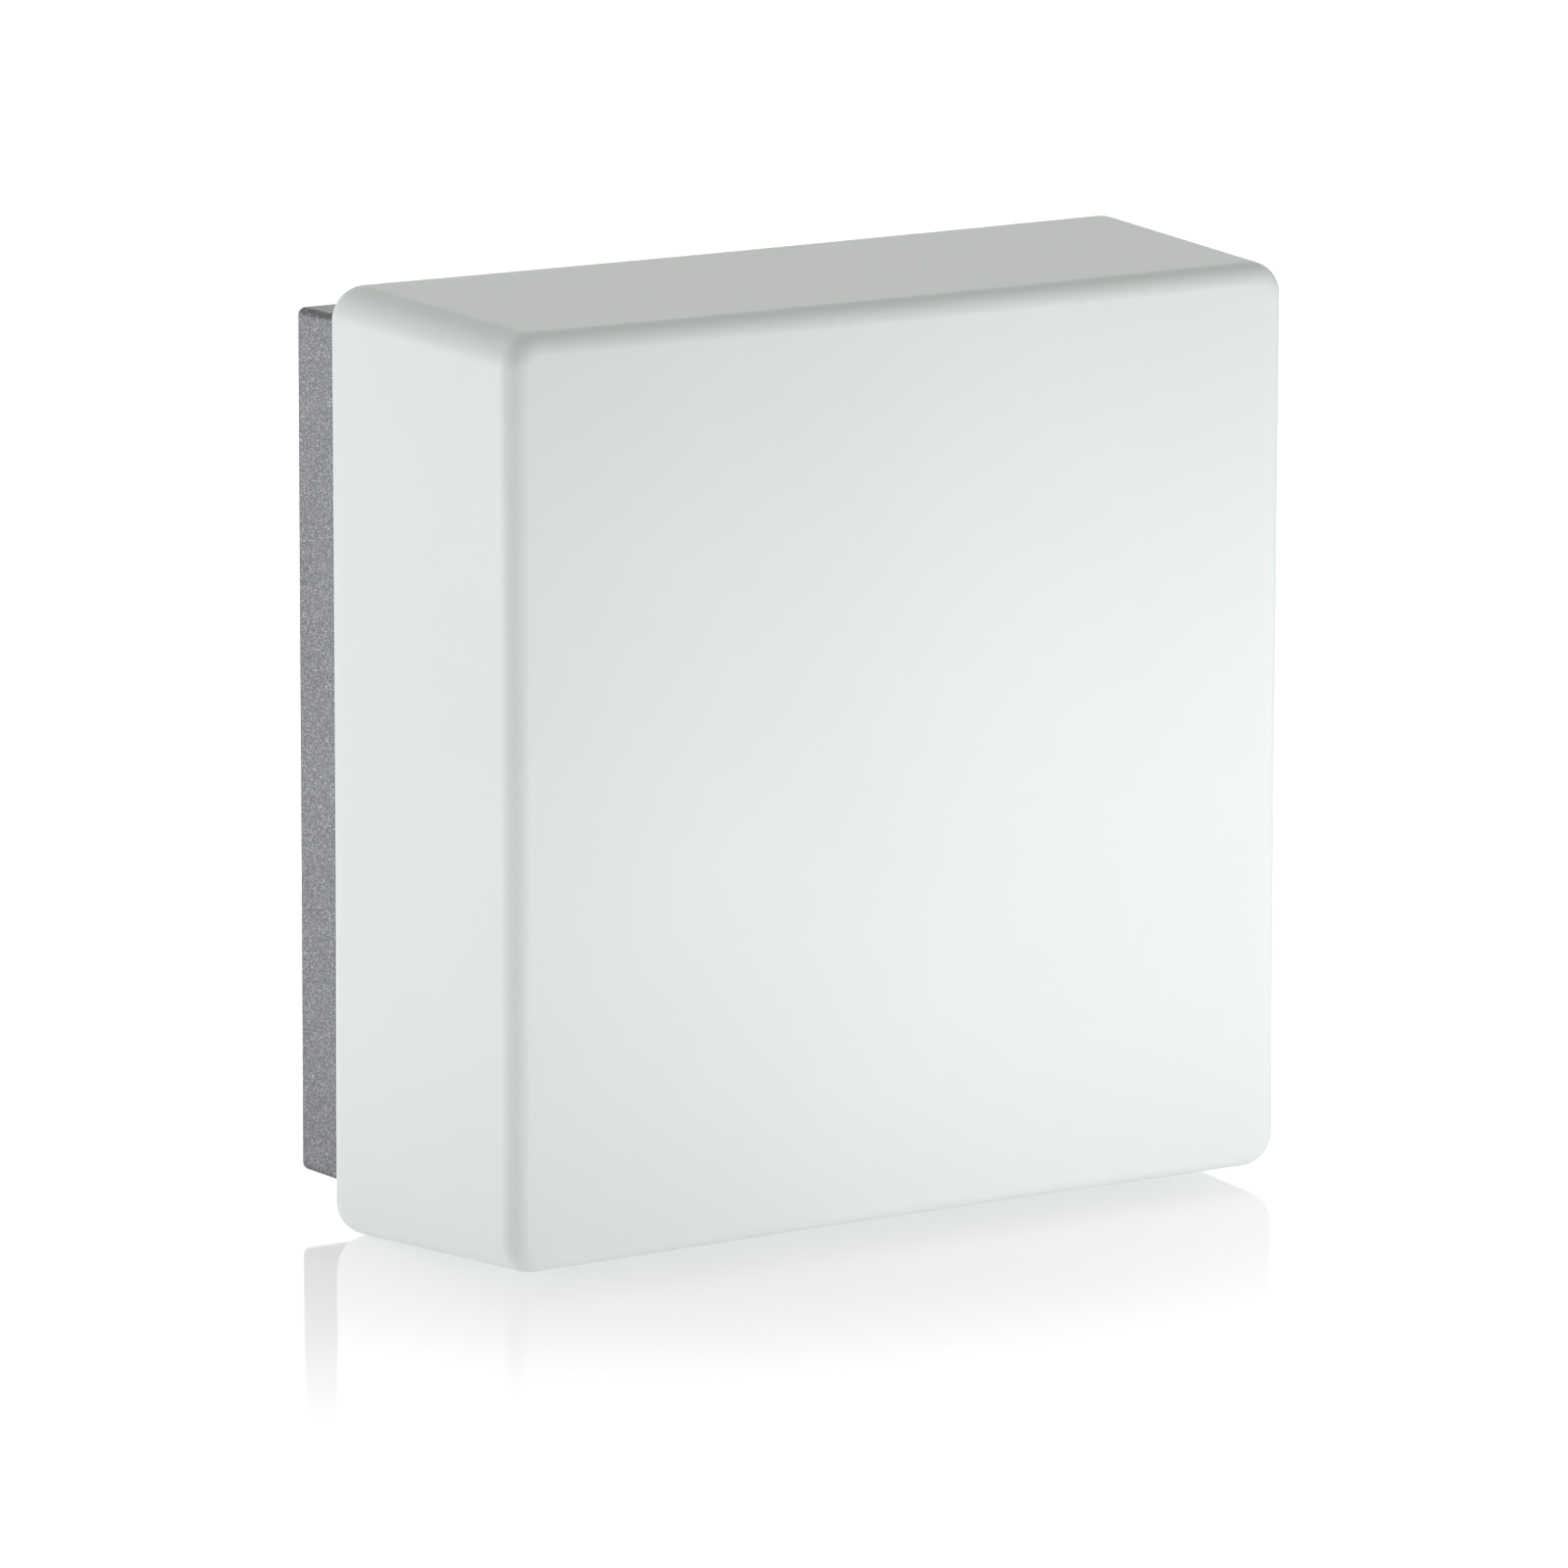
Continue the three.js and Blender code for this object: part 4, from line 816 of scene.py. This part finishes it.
# ---- seals, bushes and grommet
def cable_grommet():
    """Closed grommet with a stepped nose, which is to be cut open for the cable."""
    pad_top = BASE_FLOOR + ENTRY_PAD_HEIGHT + GAP
    nose_top = depths("cable_grommet")[1]
    flange = half_width("cable_grommet")
    flange_top = pad_top + GROMMET_FLANGE
    throat = ENTRY_RADIUS - 2 * GROMMET_SKIN
    step = (nose_top - flange_top) / 3
    outline = [(0, nose_top - GROMMET_SKIN), (GROMMET_TIP, nose_top - GROMMET_SKIN), (throat, flange_top)]
    outline += [(throat, SEAT_CLEARANCE), (flange, SEAT_CLEARANCE), (flange, GROMMET_FLANGE)]
    outline += [(ENTRY_RADIUS, GROMMET_FLANGE), (ENTRY_RADIUS, pad_top)]
    outline += [(flange, pad_top), (flange, flange_top)]
    slope = (ENTRY_RADIUS - GROMMET_SKIN - GROMMET_TIP - GROMMET_SKIN) / 3
    edge = ENTRY_RADIUS - GROMMET_SKIN
    for i in range(3):
        outline.append((edge - slope * i, flange_top + step * i))
        outline.append((edge - slope * (i + 0.25), flange_top + step * (i + 0.95)))
    outline += [(GROMMET_TIP + GROMMET_SKIN, nose_top), (0, nose_top)]
    piece = turned("entry_grommet", rounded(outline, 0.4 * MM, 3), facing(ENTRY.x, ENTRY.z), 64)
    return dress(shade(piece), "black_rubber", "base", "cable_grommet")


def fixing_bush(side):
    centre = middle(f"fixing_bush_{side}")
    flange = half_width(f"fixing_bush_{side}")
    seat_top = BASE_FLOOR + SEAT_HEIGHT + GAP
    outline = [(BUSH_BORE, SEAT_CLEARANCE), (BUSH_RADIUS, SEAT_CLEARANCE), (BUSH_RADIUS, seat_top)]
    outline += [(flange, seat_top), (flange, seat_top + BUSH_FLANGE)]
    outline += [(BUSH_BORE, seat_top + BUSH_FLANGE), (BUSH_BORE, SEAT_CLEARANCE)]
    piece = turned(f"screw_bush_{side}", rounded(outline, 0.5 * MM), facing(centre.x, centre.z), 48)
    return dress(shade(piece), "black_rubber", "base", f"fixing_bush_{side}")


def tray_bush():
    inner, outer = CABLE_HOLE_RADIUS - TRAY_BUSH_LIP, CABLE_HOLE_RADIUS + TRAY_BUSH_LIP
    under = TRAY_FRONT - SHEET - GAP
    front = TRAY_FRONT + GAP
    start, end = under - TRAY_BUSH_THICKNESS, front + TRAY_BUSH_THICKNESS
    outline = [(inner, start), (outer, start), (outer, under), (CABLE_HOLE_RADIUS, under)]
    outline += [(CABLE_HOLE_RADIUS, front), (outer, front), (outer, end), (inner, end), (inner, start)]
    piece = turned("cable_hole_bush", rounded(outline, 0.5 * MM), facing(ENTRY.x, ENTRY.z), 56)
    return dress(shade(piece), "black_rubber", "base", "tray_bush")


def seal(name, node, inner, outer_corner, inner_corner, slot):
    start, end = depths(node)
    piece = square_tube(name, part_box(node)[1].x, inner, outer_corner, inner_corner, start, end)
    return dress(shade(piece), slot, "base", node)


# ---- gear tray
def gear_tray():
    """White pressed tray with a rounded bend round its front and flanges behind."""
    back, front = depths("gear_tray")

    def skin(half, corner, face, bend):
        rings = [square_ring(half, corner, back), square_ring(half, corner, face - bend)]
        for cosine, sine in quarter_turn(6)[1:]:
            inward = bend * (1 - cosine)
            ring_corner = max(corner - inward, LEAST_CORNER)
            rings.append(square_ring(half - inward, ring_corner, face - bend * (1 - sine)))
        return rings

    inner = skin(TRAY_HALF - SHEET, TRAY_CORNER - SHEET, front - SHEET, TRAY_BEND - SHEET)
    outer = skin(TRAY_HALF, TRAY_CORNER, front, TRAY_BEND)
    piece = new_piece("pressed_tray", *loft(list(reversed(inner)) + outer))
    holes = [pin(ENTRY.x, ENTRY.z, CABLE_HOLE_RADIUS + GAP, back, front + MM, 56)]
    for side in SIDES:
        bush = f"fixing_bush_{side}"
        holes.append(pin(middle(bush).x, 0, half_width(bush) + ACCESS_PLAY, back, front + MM, 48))
    for node, (shank, _, _) in pan_screws():
        spot = middle(node)
        holes.append(pin(spot.x, spot.z, shank + GAP, back, front + MM, 24))
    return dress(shade(carve(piece, cuts=holes)), "white_paint", "base", "gear_tray")


# ---- screws
def retaining_screw(label, up):
    """Knurled thumb screw with a hexagon socket and a fine thread."""
    node = f"retaining_screw_{label}"
    spot = middle(node)
    start, top = span(node, 2)
    under = top - KNOB_HEIGHT
    chamfer = 0.5 * MM
    outline = [(0, start + TIP_BORE_DEPTH), (TIP_BORE, start + TIP_BORE_DEPTH), (TIP_BORE, start)]
    outline += [(SCREW_SHANK - 0.1 * MM, start)]
    outline += stretch(SCREW_SHANK, start + 0.2 * MM, under - 0.4 * MM, 0.1 * MM)
    outline += [(SCREW_SHANK, under), (KNOB_RADIUS - 2 * chamfer, under)]
    outline += [(KNOB_RADIUS, under + chamfer), (KNOB_RADIUS, top - chamfer)]
    outline += [(KNOB_RADIUS - 2 * chamfer, top)]
    socket = SOCKET_FLAT / math.cos(TURN / 12)
    outline += [(socket + 0.3 * MM, top), (socket, top - 0.3 * MM)]
    outline += [(socket, top - SOCKET_DEPTH), (0, top - SOCKET_DEPTH)]
    shank_thread = thread(SCREW_PITCH, 0.35 * MM, start, under, SCREW_SHANK - 0.01 * MM)

    def relief(radius, level, angle):
        if radius > KNOB_RADIUS - 0.5 * chamfer:
            ridge = abs((angle / TURN * KNURLS) % 1 - 0.5) * 2
            return radius - KNURL_DEPTH * ridge
        if radius < SCREW_SHANK and level > under:
            return hexagon(radius, angle, SOCKET_FLAT)
        return shank_thread(radius, level, angle)

    piece = turned(f"thumb_screw_{label}", outline, upright(spot.x, -spot.y, up), 4 * KNURLS, relief)
    return dress(shade(piece), "steel", f"screw_{label}", node)


def screw_tip(label, up):
    node = f"screw_tip_{label}"
    spot = middle(node)
    radius = half_width(node)
    start, end = span(node, 2)
    outline = rounded([(0, start), (radius, start), (radius, end), (0, end)], 0.6 * MM)
    piece = turned(f"nylon_tip_{label}", outline, upright(spot.x, -spot.y, up), 32)
    return dress(shade(piece), "nylon", f"screw_{label}", node)


def pan_screw(node, shank, head_height, pitch):
    """Domed screw with a cross recess, its point towards the wall."""
    spot = middle(node)
    point, top = depths(node)
    under = top - head_height
    head = half_width(node)
    outline = [(0, point), (0.45 * shank, point + 0.1 * pitch)]
    outline += stretch(shank, point + pitch, under - 0.3 * pitch, 0.16 * pitch)
    outline += [(shank, under), (head - 0.15 * MM, under), (head, under + 0.15 * MM)]
    shoulder = 0.4 * head_height
    for cosine, sine in quarter_turn(7)[:-1]:
        outline.append((head * cosine, under + shoulder + (head_height - shoulder) * sine))
    outline.append((0, top))
    relief = thread(pitch, 0.25 * shank, point, under, 0.9 * shank)
    piece = turned(node + "_made", outline, facing(spot.x, spot.z), 32, relief)
    reach, half, sunk = 0.55 * head, 0.13 * head, top - 0.55 * head_height
    arms = ((reach, half, MM, 0), (half, reach, 2 * MM, 0.05 * MM))  # unequal, so that no faces lie together
    for across, tall, above, deeper in arms:
        low = (spot.x - across, -top - above, spot.z - tall)
        high = (spot.x + across, -sunk + deeper, spot.z + tall)
        piece = carve(piece, cuts=[block(low, high)])
    slot = "brass" if node == "earth_screw" else "steel"
    return dress(shade(piece), slot, "base", node)


# ---- lampholders
def lampholder(label, up):
    """Glazed porcelain body with a socket bore, lead ports and a plain hole in its back for the threaded
    nipple.
    """
    underside, front = depths(f"lampholder_{label}")
    radius = (front - underside) / 2
    waist = radius - HOLDER_WAIST
    back_end = HOLDER_END - HOLDER_BACK
    collar = HOLDER_MOUTH + HOLDER_COLLAR
    floor_level = LAMP_START + CONTACT_ROOM
    hole, hole_end = NIPPLE_RADIUS + GAP, HOLDER_END - NIPPLE_REACH - MM
    outline = [(0, hole_end), (hole, hole_end), (hole, HOLDER_END), (radius - HOLDER_CHAMFER, HOLDER_END)]
    outline += [(radius, HOLDER_END - HOLDER_CHAMFER), (radius, back_end)]
    outline += [(waist, back_end - HOLDER_WAIST), (waist, collar + MM)]
    outline += [(radius, collar), (radius, HOLDER_MOUTH + HOLDER_CHAMFER)]
    outline += [(radius - HOLDER_CHAMFER, HOLDER_MOUTH), (HOLDER_BORE, HOLDER_MOUTH)]
    outline += [(HOLDER_BORE, floor_level), (0, floor_level)]
    piece = turned(f"porcelain_holder_{label}", rounded(outline, 0.9 * MM), lamp_axis(up), 72)
    ports = []
    for side in (-1, 1):
        axis = facing(-up * PORT_AT, up * LAMP_HEIGHT + side * PORT_SPREAD)
        ports.append(rod(axis, PORT_RADIUS, underside - 2 * MM, underside + PORT_DEPTH))
    piece = shade(carve(piece, cuts=ports))
    return dress(piece, "porcelain", "base", f"lampholder_{label}")


def socket_shell(label, up):
    """Thin brass shell rolled into the same thread as the lamp's cap."""
    start, end = span(f"socket_shell_{label}", 0)
    step = THREAD_PITCH / 10
    outer = stretch(SHELL_INNER + SHELL_WALL, start, end, step)
    inner = stretch(SHELL_INNER, end, start, step)
    outline = outer + inner + [outer[0]]
    relief = thread(THREAD_PITCH, 0.8 * THREAD_DEPTH, start, end)
    piece = turned(f"threaded_shell_{label}", outline, lamp_axis(up), 72, relief)
    return dress(shade(piece, WIDE_SMOOTH_ANGLE), "brass", "base", f"socket_shell_{label}")


def holder_nipple(label, up):
    """Hollow threaded nipple with a chamfered hexagon flange."""
    stem_end, outside = span(f"holder_nipple_{label}", 0)
    flange = outside - NUT_THICKNESS
    corner = NUT_FLAT / math.cos(TURN / 12)
    outline = [(NIPPLE_BORE, stem_end), (NIPPLE_RADIUS - 0.3 * MM, stem_end)]
    outline += stretch(NIPPLE_RADIUS, stem_end + 0.3 * MM, flange, 0.12 * MM)
    outline += [(NUT_FLAT, flange), (corner, flange + 0.6 * MM), (corner, outside - 0.6 * MM)]
    outline += [(NUT_FLAT, outside), (NIPPLE_BORE + 0.4 * MM, outside), (NIPPLE_BORE, outside - 0.4 * MM)]
    outline.append(outline[0])
    stem_thread = thread(MM, 0.4 * MM, stem_end, flange, NIPPLE_RADIUS - 0.1 * MM)

    def relief(radius, level, angle):
        if radius > NIPPLE_RADIUS + 0.5 * MM:
            return hexagon(radius, angle, NUT_FLAT)
        return stem_thread(radius, level, angle)

    piece = turned(f"threaded_nipple_{label}", outline, lamp_axis(up), 72, relief)
    return dress(shade(piece), "steel", "base", f"holder_nipple_{label}")


# ---- lamps
def bulb_outline(inset, flare_steps=20, ball_steps=30):
    """(radius, distance from the lamp's tip) from the flare's start to the top of the ball."""
    ball = LAMP_RADIUS - inset
    centre = LAMP_LENGTH - LAMP_RADIUS
    start = Vector((CAP_RADIUS + BULB_NECK - inset, CAP_LENGTH + BULB_NECK_END))
    end = Vector((ball * math.cos(BULB_JOIN), centre + ball * math.sin(BULB_JOIN)))
    pull = (end - start).length
    start_pull = Vector((0, pull))
    end_pull = Vector((-math.sin(BULB_JOIN), math.cos(BULB_JOIN))) * pull
    outline = []
    for i in range(flare_steps):
        t = i / flare_steps
        point = (
            start * (2 * t**3 - 3 * t**2 + 1)
            + start_pull * (t**3 - 2 * t**2 + t)
            + end * (3 * t**2 - 2 * t**3)
            + end_pull * (t**3 - t**2)
        )
        outline.append(tuple(point))
    for i in range(ball_steps):
        angle = BULB_JOIN + (TURN / 4 - BULB_JOIN) * i / ball_steps
        outline.append((ball * math.cos(angle), centre + ball * math.sin(angle)))
    outline.append((0, centre + ball))
    return outline


def on_lamp(outline):
    """Turns distances from a lamp's tip into levels on its axis."""
    return [(radius, LAMP_START - along) for radius, along in outline]


def lamp_bulb(label, up):
    """Thin glass envelope, open where its neck sits in the cap."""
    neck_start = CAP_LENGTH - CAP_LAP
    neck = CAP_RADIUS - CAP_WALL - GAP
    inner = neck - BULB_WALL
    outline = [(inner, neck_start), (neck, neck_start), (neck, CAP_LENGTH + GAP)]
    outline += [(CAP_RADIUS + MM, CAP_LENGTH + MM)]
    outline += [(CAP_RADIUS + BULB_NECK, CAP_LENGTH + BULB_NECK_END / 2)]
    outline += bulb_outline(0) + bulb_outline(BULB_WALL)[::-1]
    outline += [(inner, CAP_LENGTH + 2 * MM), (inner, neck_start)]
    piece = turned(f"lamp_envelope_{label}", on_lamp(outline), lamp_axis(up), 72)
    return dress(shade(piece), "lamp_glass", f"lamp_{label}", f"lamp_bulb_{label}")


def lamp_cap(label, up):
    """Rolled aluminium cap with a real thread."""
    start = CAP_START
    thread_end = start + THREAD_TURNS * THREAD_PITCH + 1.5 * MM
    inner = CAP_RADIUS - CAP_WALL
    outline = [(0, start), (CAP_RADIUS - 4 * MM, start - MM), (CAP_RADIUS - THREAD_DEPTH, start)]
    outline += stretch(CAP_RADIUS, start + 0.3 * MM, thread_end, THREAD_PITCH / 10)
    outline += [(CAP_RADIUS, CAP_LENGTH - 0.2 * MM), (CAP_RADIUS - 0.2 * MM, CAP_LENGTH)]
    step = CAP_LENGTH - CAP_LAP - GAP
    outline += [(inner, CAP_LENGTH), (inner, step), (inner - THREAD_DEPTH, step)]
    outline += [(inner - THREAD_DEPTH, start + MM), (0, start + MM)]
    bottom = LAMP_START - thread_end
    top = LAMP_START - start + THREAD_PITCH
    relief = thread(THREAD_PITCH, THREAD_DEPTH, bottom, top, CAP_RADIUS - 0.05 * MM)
    piece = turned(f"threaded_cap_{label}", on_lamp(outline), lamp_axis(up), 72, relief)
    return dress(shade(piece, WIDE_SMOOTH_ANGLE), "lamp_metal", f"lamp_{label}", f"lamp_cap_{label}")


def lamp_contact(label, up):
    """Black glass insulator round a domed solder tip."""
    rim = CAP_RADIUS - 4.8 * MM
    rim_at, end = 4.5 * MM, CAP_START - GAP
    insulator = [(0, 1.4 * MM), (4.2 * MM, 1.6 * MM), (5.2 * MM, 2.2 * MM)]
    insulator += [(rim, rim_at), (rim, end - MM), (0, end)]
    piece = turned(f"cap_insulator_{label}", on_lamp(rounded(insulator, 0.4 * MM)), lamp_axis(up), 48)
    dress(shade(piece), "black_glass", f"lamp_{label}", f"lamp_contact_{label}")
    dome = [(0, 0.2 * MM), (1.8 * MM, 0.32 * MM), (3.2 * MM, 0.8 * MM), (3.6 * MM, 1.5 * MM), (0, 1.5 * MM)]
    tip = turned(f"solder_tip_{label}", on_lamp(rounded(dome, 0.5 * MM)), lamp_axis(up), 40)
    dress(shade(tip), "lamp_metal", f"lamp_{label}")


# ---- CAD pieces that are kept
def keep_cad(obj, slot, softness):
    """A CAD node keeps its shape, and gets softened edges, smooth shading and a material."""
    obj.data.polygons.foreach_set("use_smooth", [True] * len(obj.data.polygons))
    weld = obj.modifiers.new("weld", "WELD")
    weld.merge_threshold = WELD_DISTANCE
    if softness:
        flat = obj.modifiers.new("flat faces", "DECIMATE")
        flat.decimate_type = "DISSOLVE"
        flat.angle_limit = FLAT_ANGLE
        soften = obj.modifiers.new("soft edges", "BEVEL")
        soften.width = softness
        soften.segments = 2
        soften.limit_method = "ANGLE"
        soften.angle_limit = SMOOTH_ANGLE
        soften.harden_normals = True
    else:
        split = obj.modifiers.new("hard edges", "EDGE_SPLIT")
        split.split_angle = SMOOTH_ANGLE
    weighted = obj.modifiers.new("weighted normals", "WEIGHTED_NORMAL")
    weighted.keep_sharp = True
    obj.data.materials.clear()
    obj.data.materials.append(MATERIALS[slot])


# ---- assembly
glass_shade()
base_housing()
seal_inner = BASE_HALF - SEAL_INSET - SEAL_WIDTH
seal("wall_gasket", "wall_seal", seal_inner, SEAL_CORNER, SEAL_CORNER / 2, "black_rubber")
seal("glass_gasket", "rim_gasket", BASE_HALF - GASKET_INSET, BASE_CORNER, NECK_CORNER, "silicone")
cable_grommet()
tray_bush()
gear_tray()
for bush_side in SIDES:
    fixing_bush(bush_side)
for corner_name, corner_up in CORNERS.items():
    retaining_screw(corner_name, corner_up)
    screw_tip(corner_name, corner_up)
for lamp_name, lamp_up in LAMPS.items():
    lampholder(lamp_name, lamp_up)
    socket_shell(lamp_name, lamp_up)
    holder_nipple(lamp_name, lamp_up)
    lamp_bulb(lamp_name, lamp_up)
    lamp_cap(lamp_name, lamp_up)
    lamp_contact(lamp_name, lamp_up)
for screw_node, screw_sizes in pan_screws():
    pan_screw(screw_node, *screw_sizes)

slots = {s["node"]: s["material_slot"] for s in frame["record"]["subparts"]}
for node_name, node_object in frame["nodes"].items():
    if not node_object.hide_render:
        is_lead = "lead" in node_name
        keep_cad(node_object, slots[node_name], 0 if is_lead else EDGE_SOFTNESS)


# ---- floor, light and camera
VIEW_AZIMUTH = math.radians(-34.08)
VIEW_ELEVATION = math.radians(10.79)
VIEW_ROLL = math.radians(0.116)
VIEW_DISTANCE = 3.7408
VIEW_TARGET = Vector((0.0059, -0.06, -0.0193))
LENS = 271.5
SENSOR = 36

FLOOR_REACH = 12
FLOOR_DROP = 0.05 * MM  # below the lantern
FLOOR_COLOUR = (0.5, 0.5, 0.5)
FLOOR_ROUGHNESS = 0.06
FLOOR_PAINTED_GLOW = ((0.1, 0.4), (0.42, 0.8), (0.6, 0.8), (1.0, 0.32))  # metres from the lantern, and strength of the painted glow, which is weak near the lantern as painted shade round it
AMBIENT_HORIZON = (0.40, 0.41, 0.42)
AMBIENT_ZENITH = (0.54, 0.54, 0.49)
ZENITH_HEIGHT = 0.95
BACKDROP = (1.7, 1.7, 1.7)
BACKDROP_ELEVATION = math.radians(6)
BACKDROP_EDGE = math.radians(28)  # from its middle, where it ends
BACKDROP_FULL = math.radians(12)  # from its middle, where it reaches its full brightness
LIGHT_TARGET = Vector((0, -0.07, 0))
# degrees round from straight out of the wall, degrees up, distance and size in metres, and watts
SOFTBOXES = {
    "left softbox": (-125, 0, 1.6, 0.3, 6.7),
    "right softbox": (50, -5, 0.7, 0.15, 0.5),
    "low softbox": (14, -13, 0.46, 0.08, 0.43),
}


def away(azimuth, elevation):
    """Unit vector from the lantern, where azimuth 0 is straight out of the wall and turns towards +X."""
    level = math.cos(elevation)
    return Vector((math.sin(azimuth) * level, -math.cos(azimuth) * level, math.sin(elevation)))


def floor():
    """Pale glossy floor with a painted glow that is weak near the lantern and grows away from it, so that it
    paints shade round the lantern and the reflection fades.
    """
    z = cad_low.z - FLOOR_DROP
    corners = [(FLOOR_REACH * x, FLOOR_REACH * y, z) for x, y in ((-1, -1), (1, -1), (1, 1), (-1, 1))]
    piece = new_piece("floor", corners, [(0, 1, 2, 3)])
    material = plain("floor", FLOOR_COLOUR, FLOOR_ROUGHNESS)
    nodes, links, shader = parts(material)
    coordinates = nodes.new("ShaderNodeTexCoord")
    distance_out = nodes.new("ShaderNodeVectorMath")
    distance_out.operation = "DISTANCE"
    distance_out.inputs[1].default_value = (0, (cad_low.y + cad_high.y) / 2, z)
    # painted light: the floor glows, least near the lantern and most about half a metre out, which paints
    # shade round the lantern
    painted_glow = colour_ramp(nodes, *((distance, [strength] * 3) for distance, strength in FLOOR_PAINTED_GLOW))
    painted_glow.color_ramp.interpolation = "EASE"
    links.new(coordinates.outputs["Object"], distance_out.inputs[0])
    links.new(distance_out.outputs["Value"], painted_glow.inputs["Fac"])
    links.new(painted_glow.outputs["Color"], shader.inputs["Emission Strength"])
    piece.data.materials.append(material)


def area_light(name, azimuth, elevation, distance, size, power):
    direction = away(math.radians(azimuth), math.radians(elevation))
    data = bpy.data.lights.new(name, "AREA")
    data.size = size
    data.energy = power
    lamp = bpy.data.objects.new(name, data)
    lamp.location = LIGHT_TARGET + direction * distance
    lamp.rotation_euler = (-direction).to_track_quat("-Z", "Y").to_euler()
    bpy.context.scene.collection.objects.link(lamp)


def studio():
    """Pale surroundings with a bright backdrop behind the lantern, and three soft lights."""
    world = bpy.data.worlds.new("studio")
    bpy.context.scene.world = world
    world.use_nodes = True
    nodes, links = world.node_tree.nodes, world.node_tree.links
    coordinates = nodes.new("ShaderNodeTexCoord")
    split = nodes.new("ShaderNodeSeparateXYZ")
    height = colour_ramp(nodes, (0, AMBIENT_HORIZON), (ZENITH_HEIGHT, AMBIENT_ZENITH))
    behind = nodes.new("ShaderNodeVectorMath")
    behind.operation = "DOT_PRODUCT"
    behind.inputs[1].default_value = away(VIEW_AZIMUTH + TURN / 2, BACKDROP_ELEVATION)
    backdrop = nodes.new("ShaderNodeMapRange")
    backdrop.interpolation_type = "SMOOTHSTEP"
    backdrop.inputs["From Min"].default_value = math.cos(BACKDROP_EDGE)
    backdrop.inputs["From Max"].default_value = math.cos(BACKDROP_FULL)
    blend = nodes.new("ShaderNodeMix")
    blend.data_type = "RGBA"
    blend.inputs[7].default_value = (*BACKDROP, 1)
    links.new(coordinates.outputs["Generated"], split.inputs["Vector"])
    links.new(split.outputs["Z"], height.inputs["Fac"])
    links.new(coordinates.outputs["Generated"], behind.inputs[0])
    links.new(behind.outputs["Value"], backdrop.inputs["Value"])
    links.new(backdrop.outputs["Result"], blend.inputs["Factor"])
    links.new(height.outputs["Color"], blend.inputs[6])
    links.new(blend.outputs[2], nodes["Background"].inputs["Color"])
    for name, setting in SOFTBOXES.items():
        area_light(name, *setting)


def camera():
    """The photo's viewing angle: from the front left, a little above, through a long lens."""
    back = away(VIEW_AZIMUTH, VIEW_ELEVATION)
    right = (-back).cross(Vector((0, 0, 1))).normalized()
    up = right.cross(-back)
    rolled_right = math.cos(VIEW_ROLL) * right + math.sin(VIEW_ROLL) * up
    rolled_up = math.cos(VIEW_ROLL) * up - math.sin(VIEW_ROLL) * right
    data = bpy.data.cameras.new("camera")
    data.sensor_width = SENSOR
    data.lens = LENS
    viewer = bpy.data.objects.new("camera", data)
    axes = Matrix((rolled_right, rolled_up, back)).transposed()
    viewer.matrix_world = Matrix.Translation(VIEW_TARGET + back * VIEW_DISTANCE) @ axes.to_4x4()
    bpy.context.scene.collection.objects.link(viewer)
    bpy.context.scene.camera = viewer


floor()
studio()
camera()
bpy.context.scene.view_settings.view_transform = "Standard"
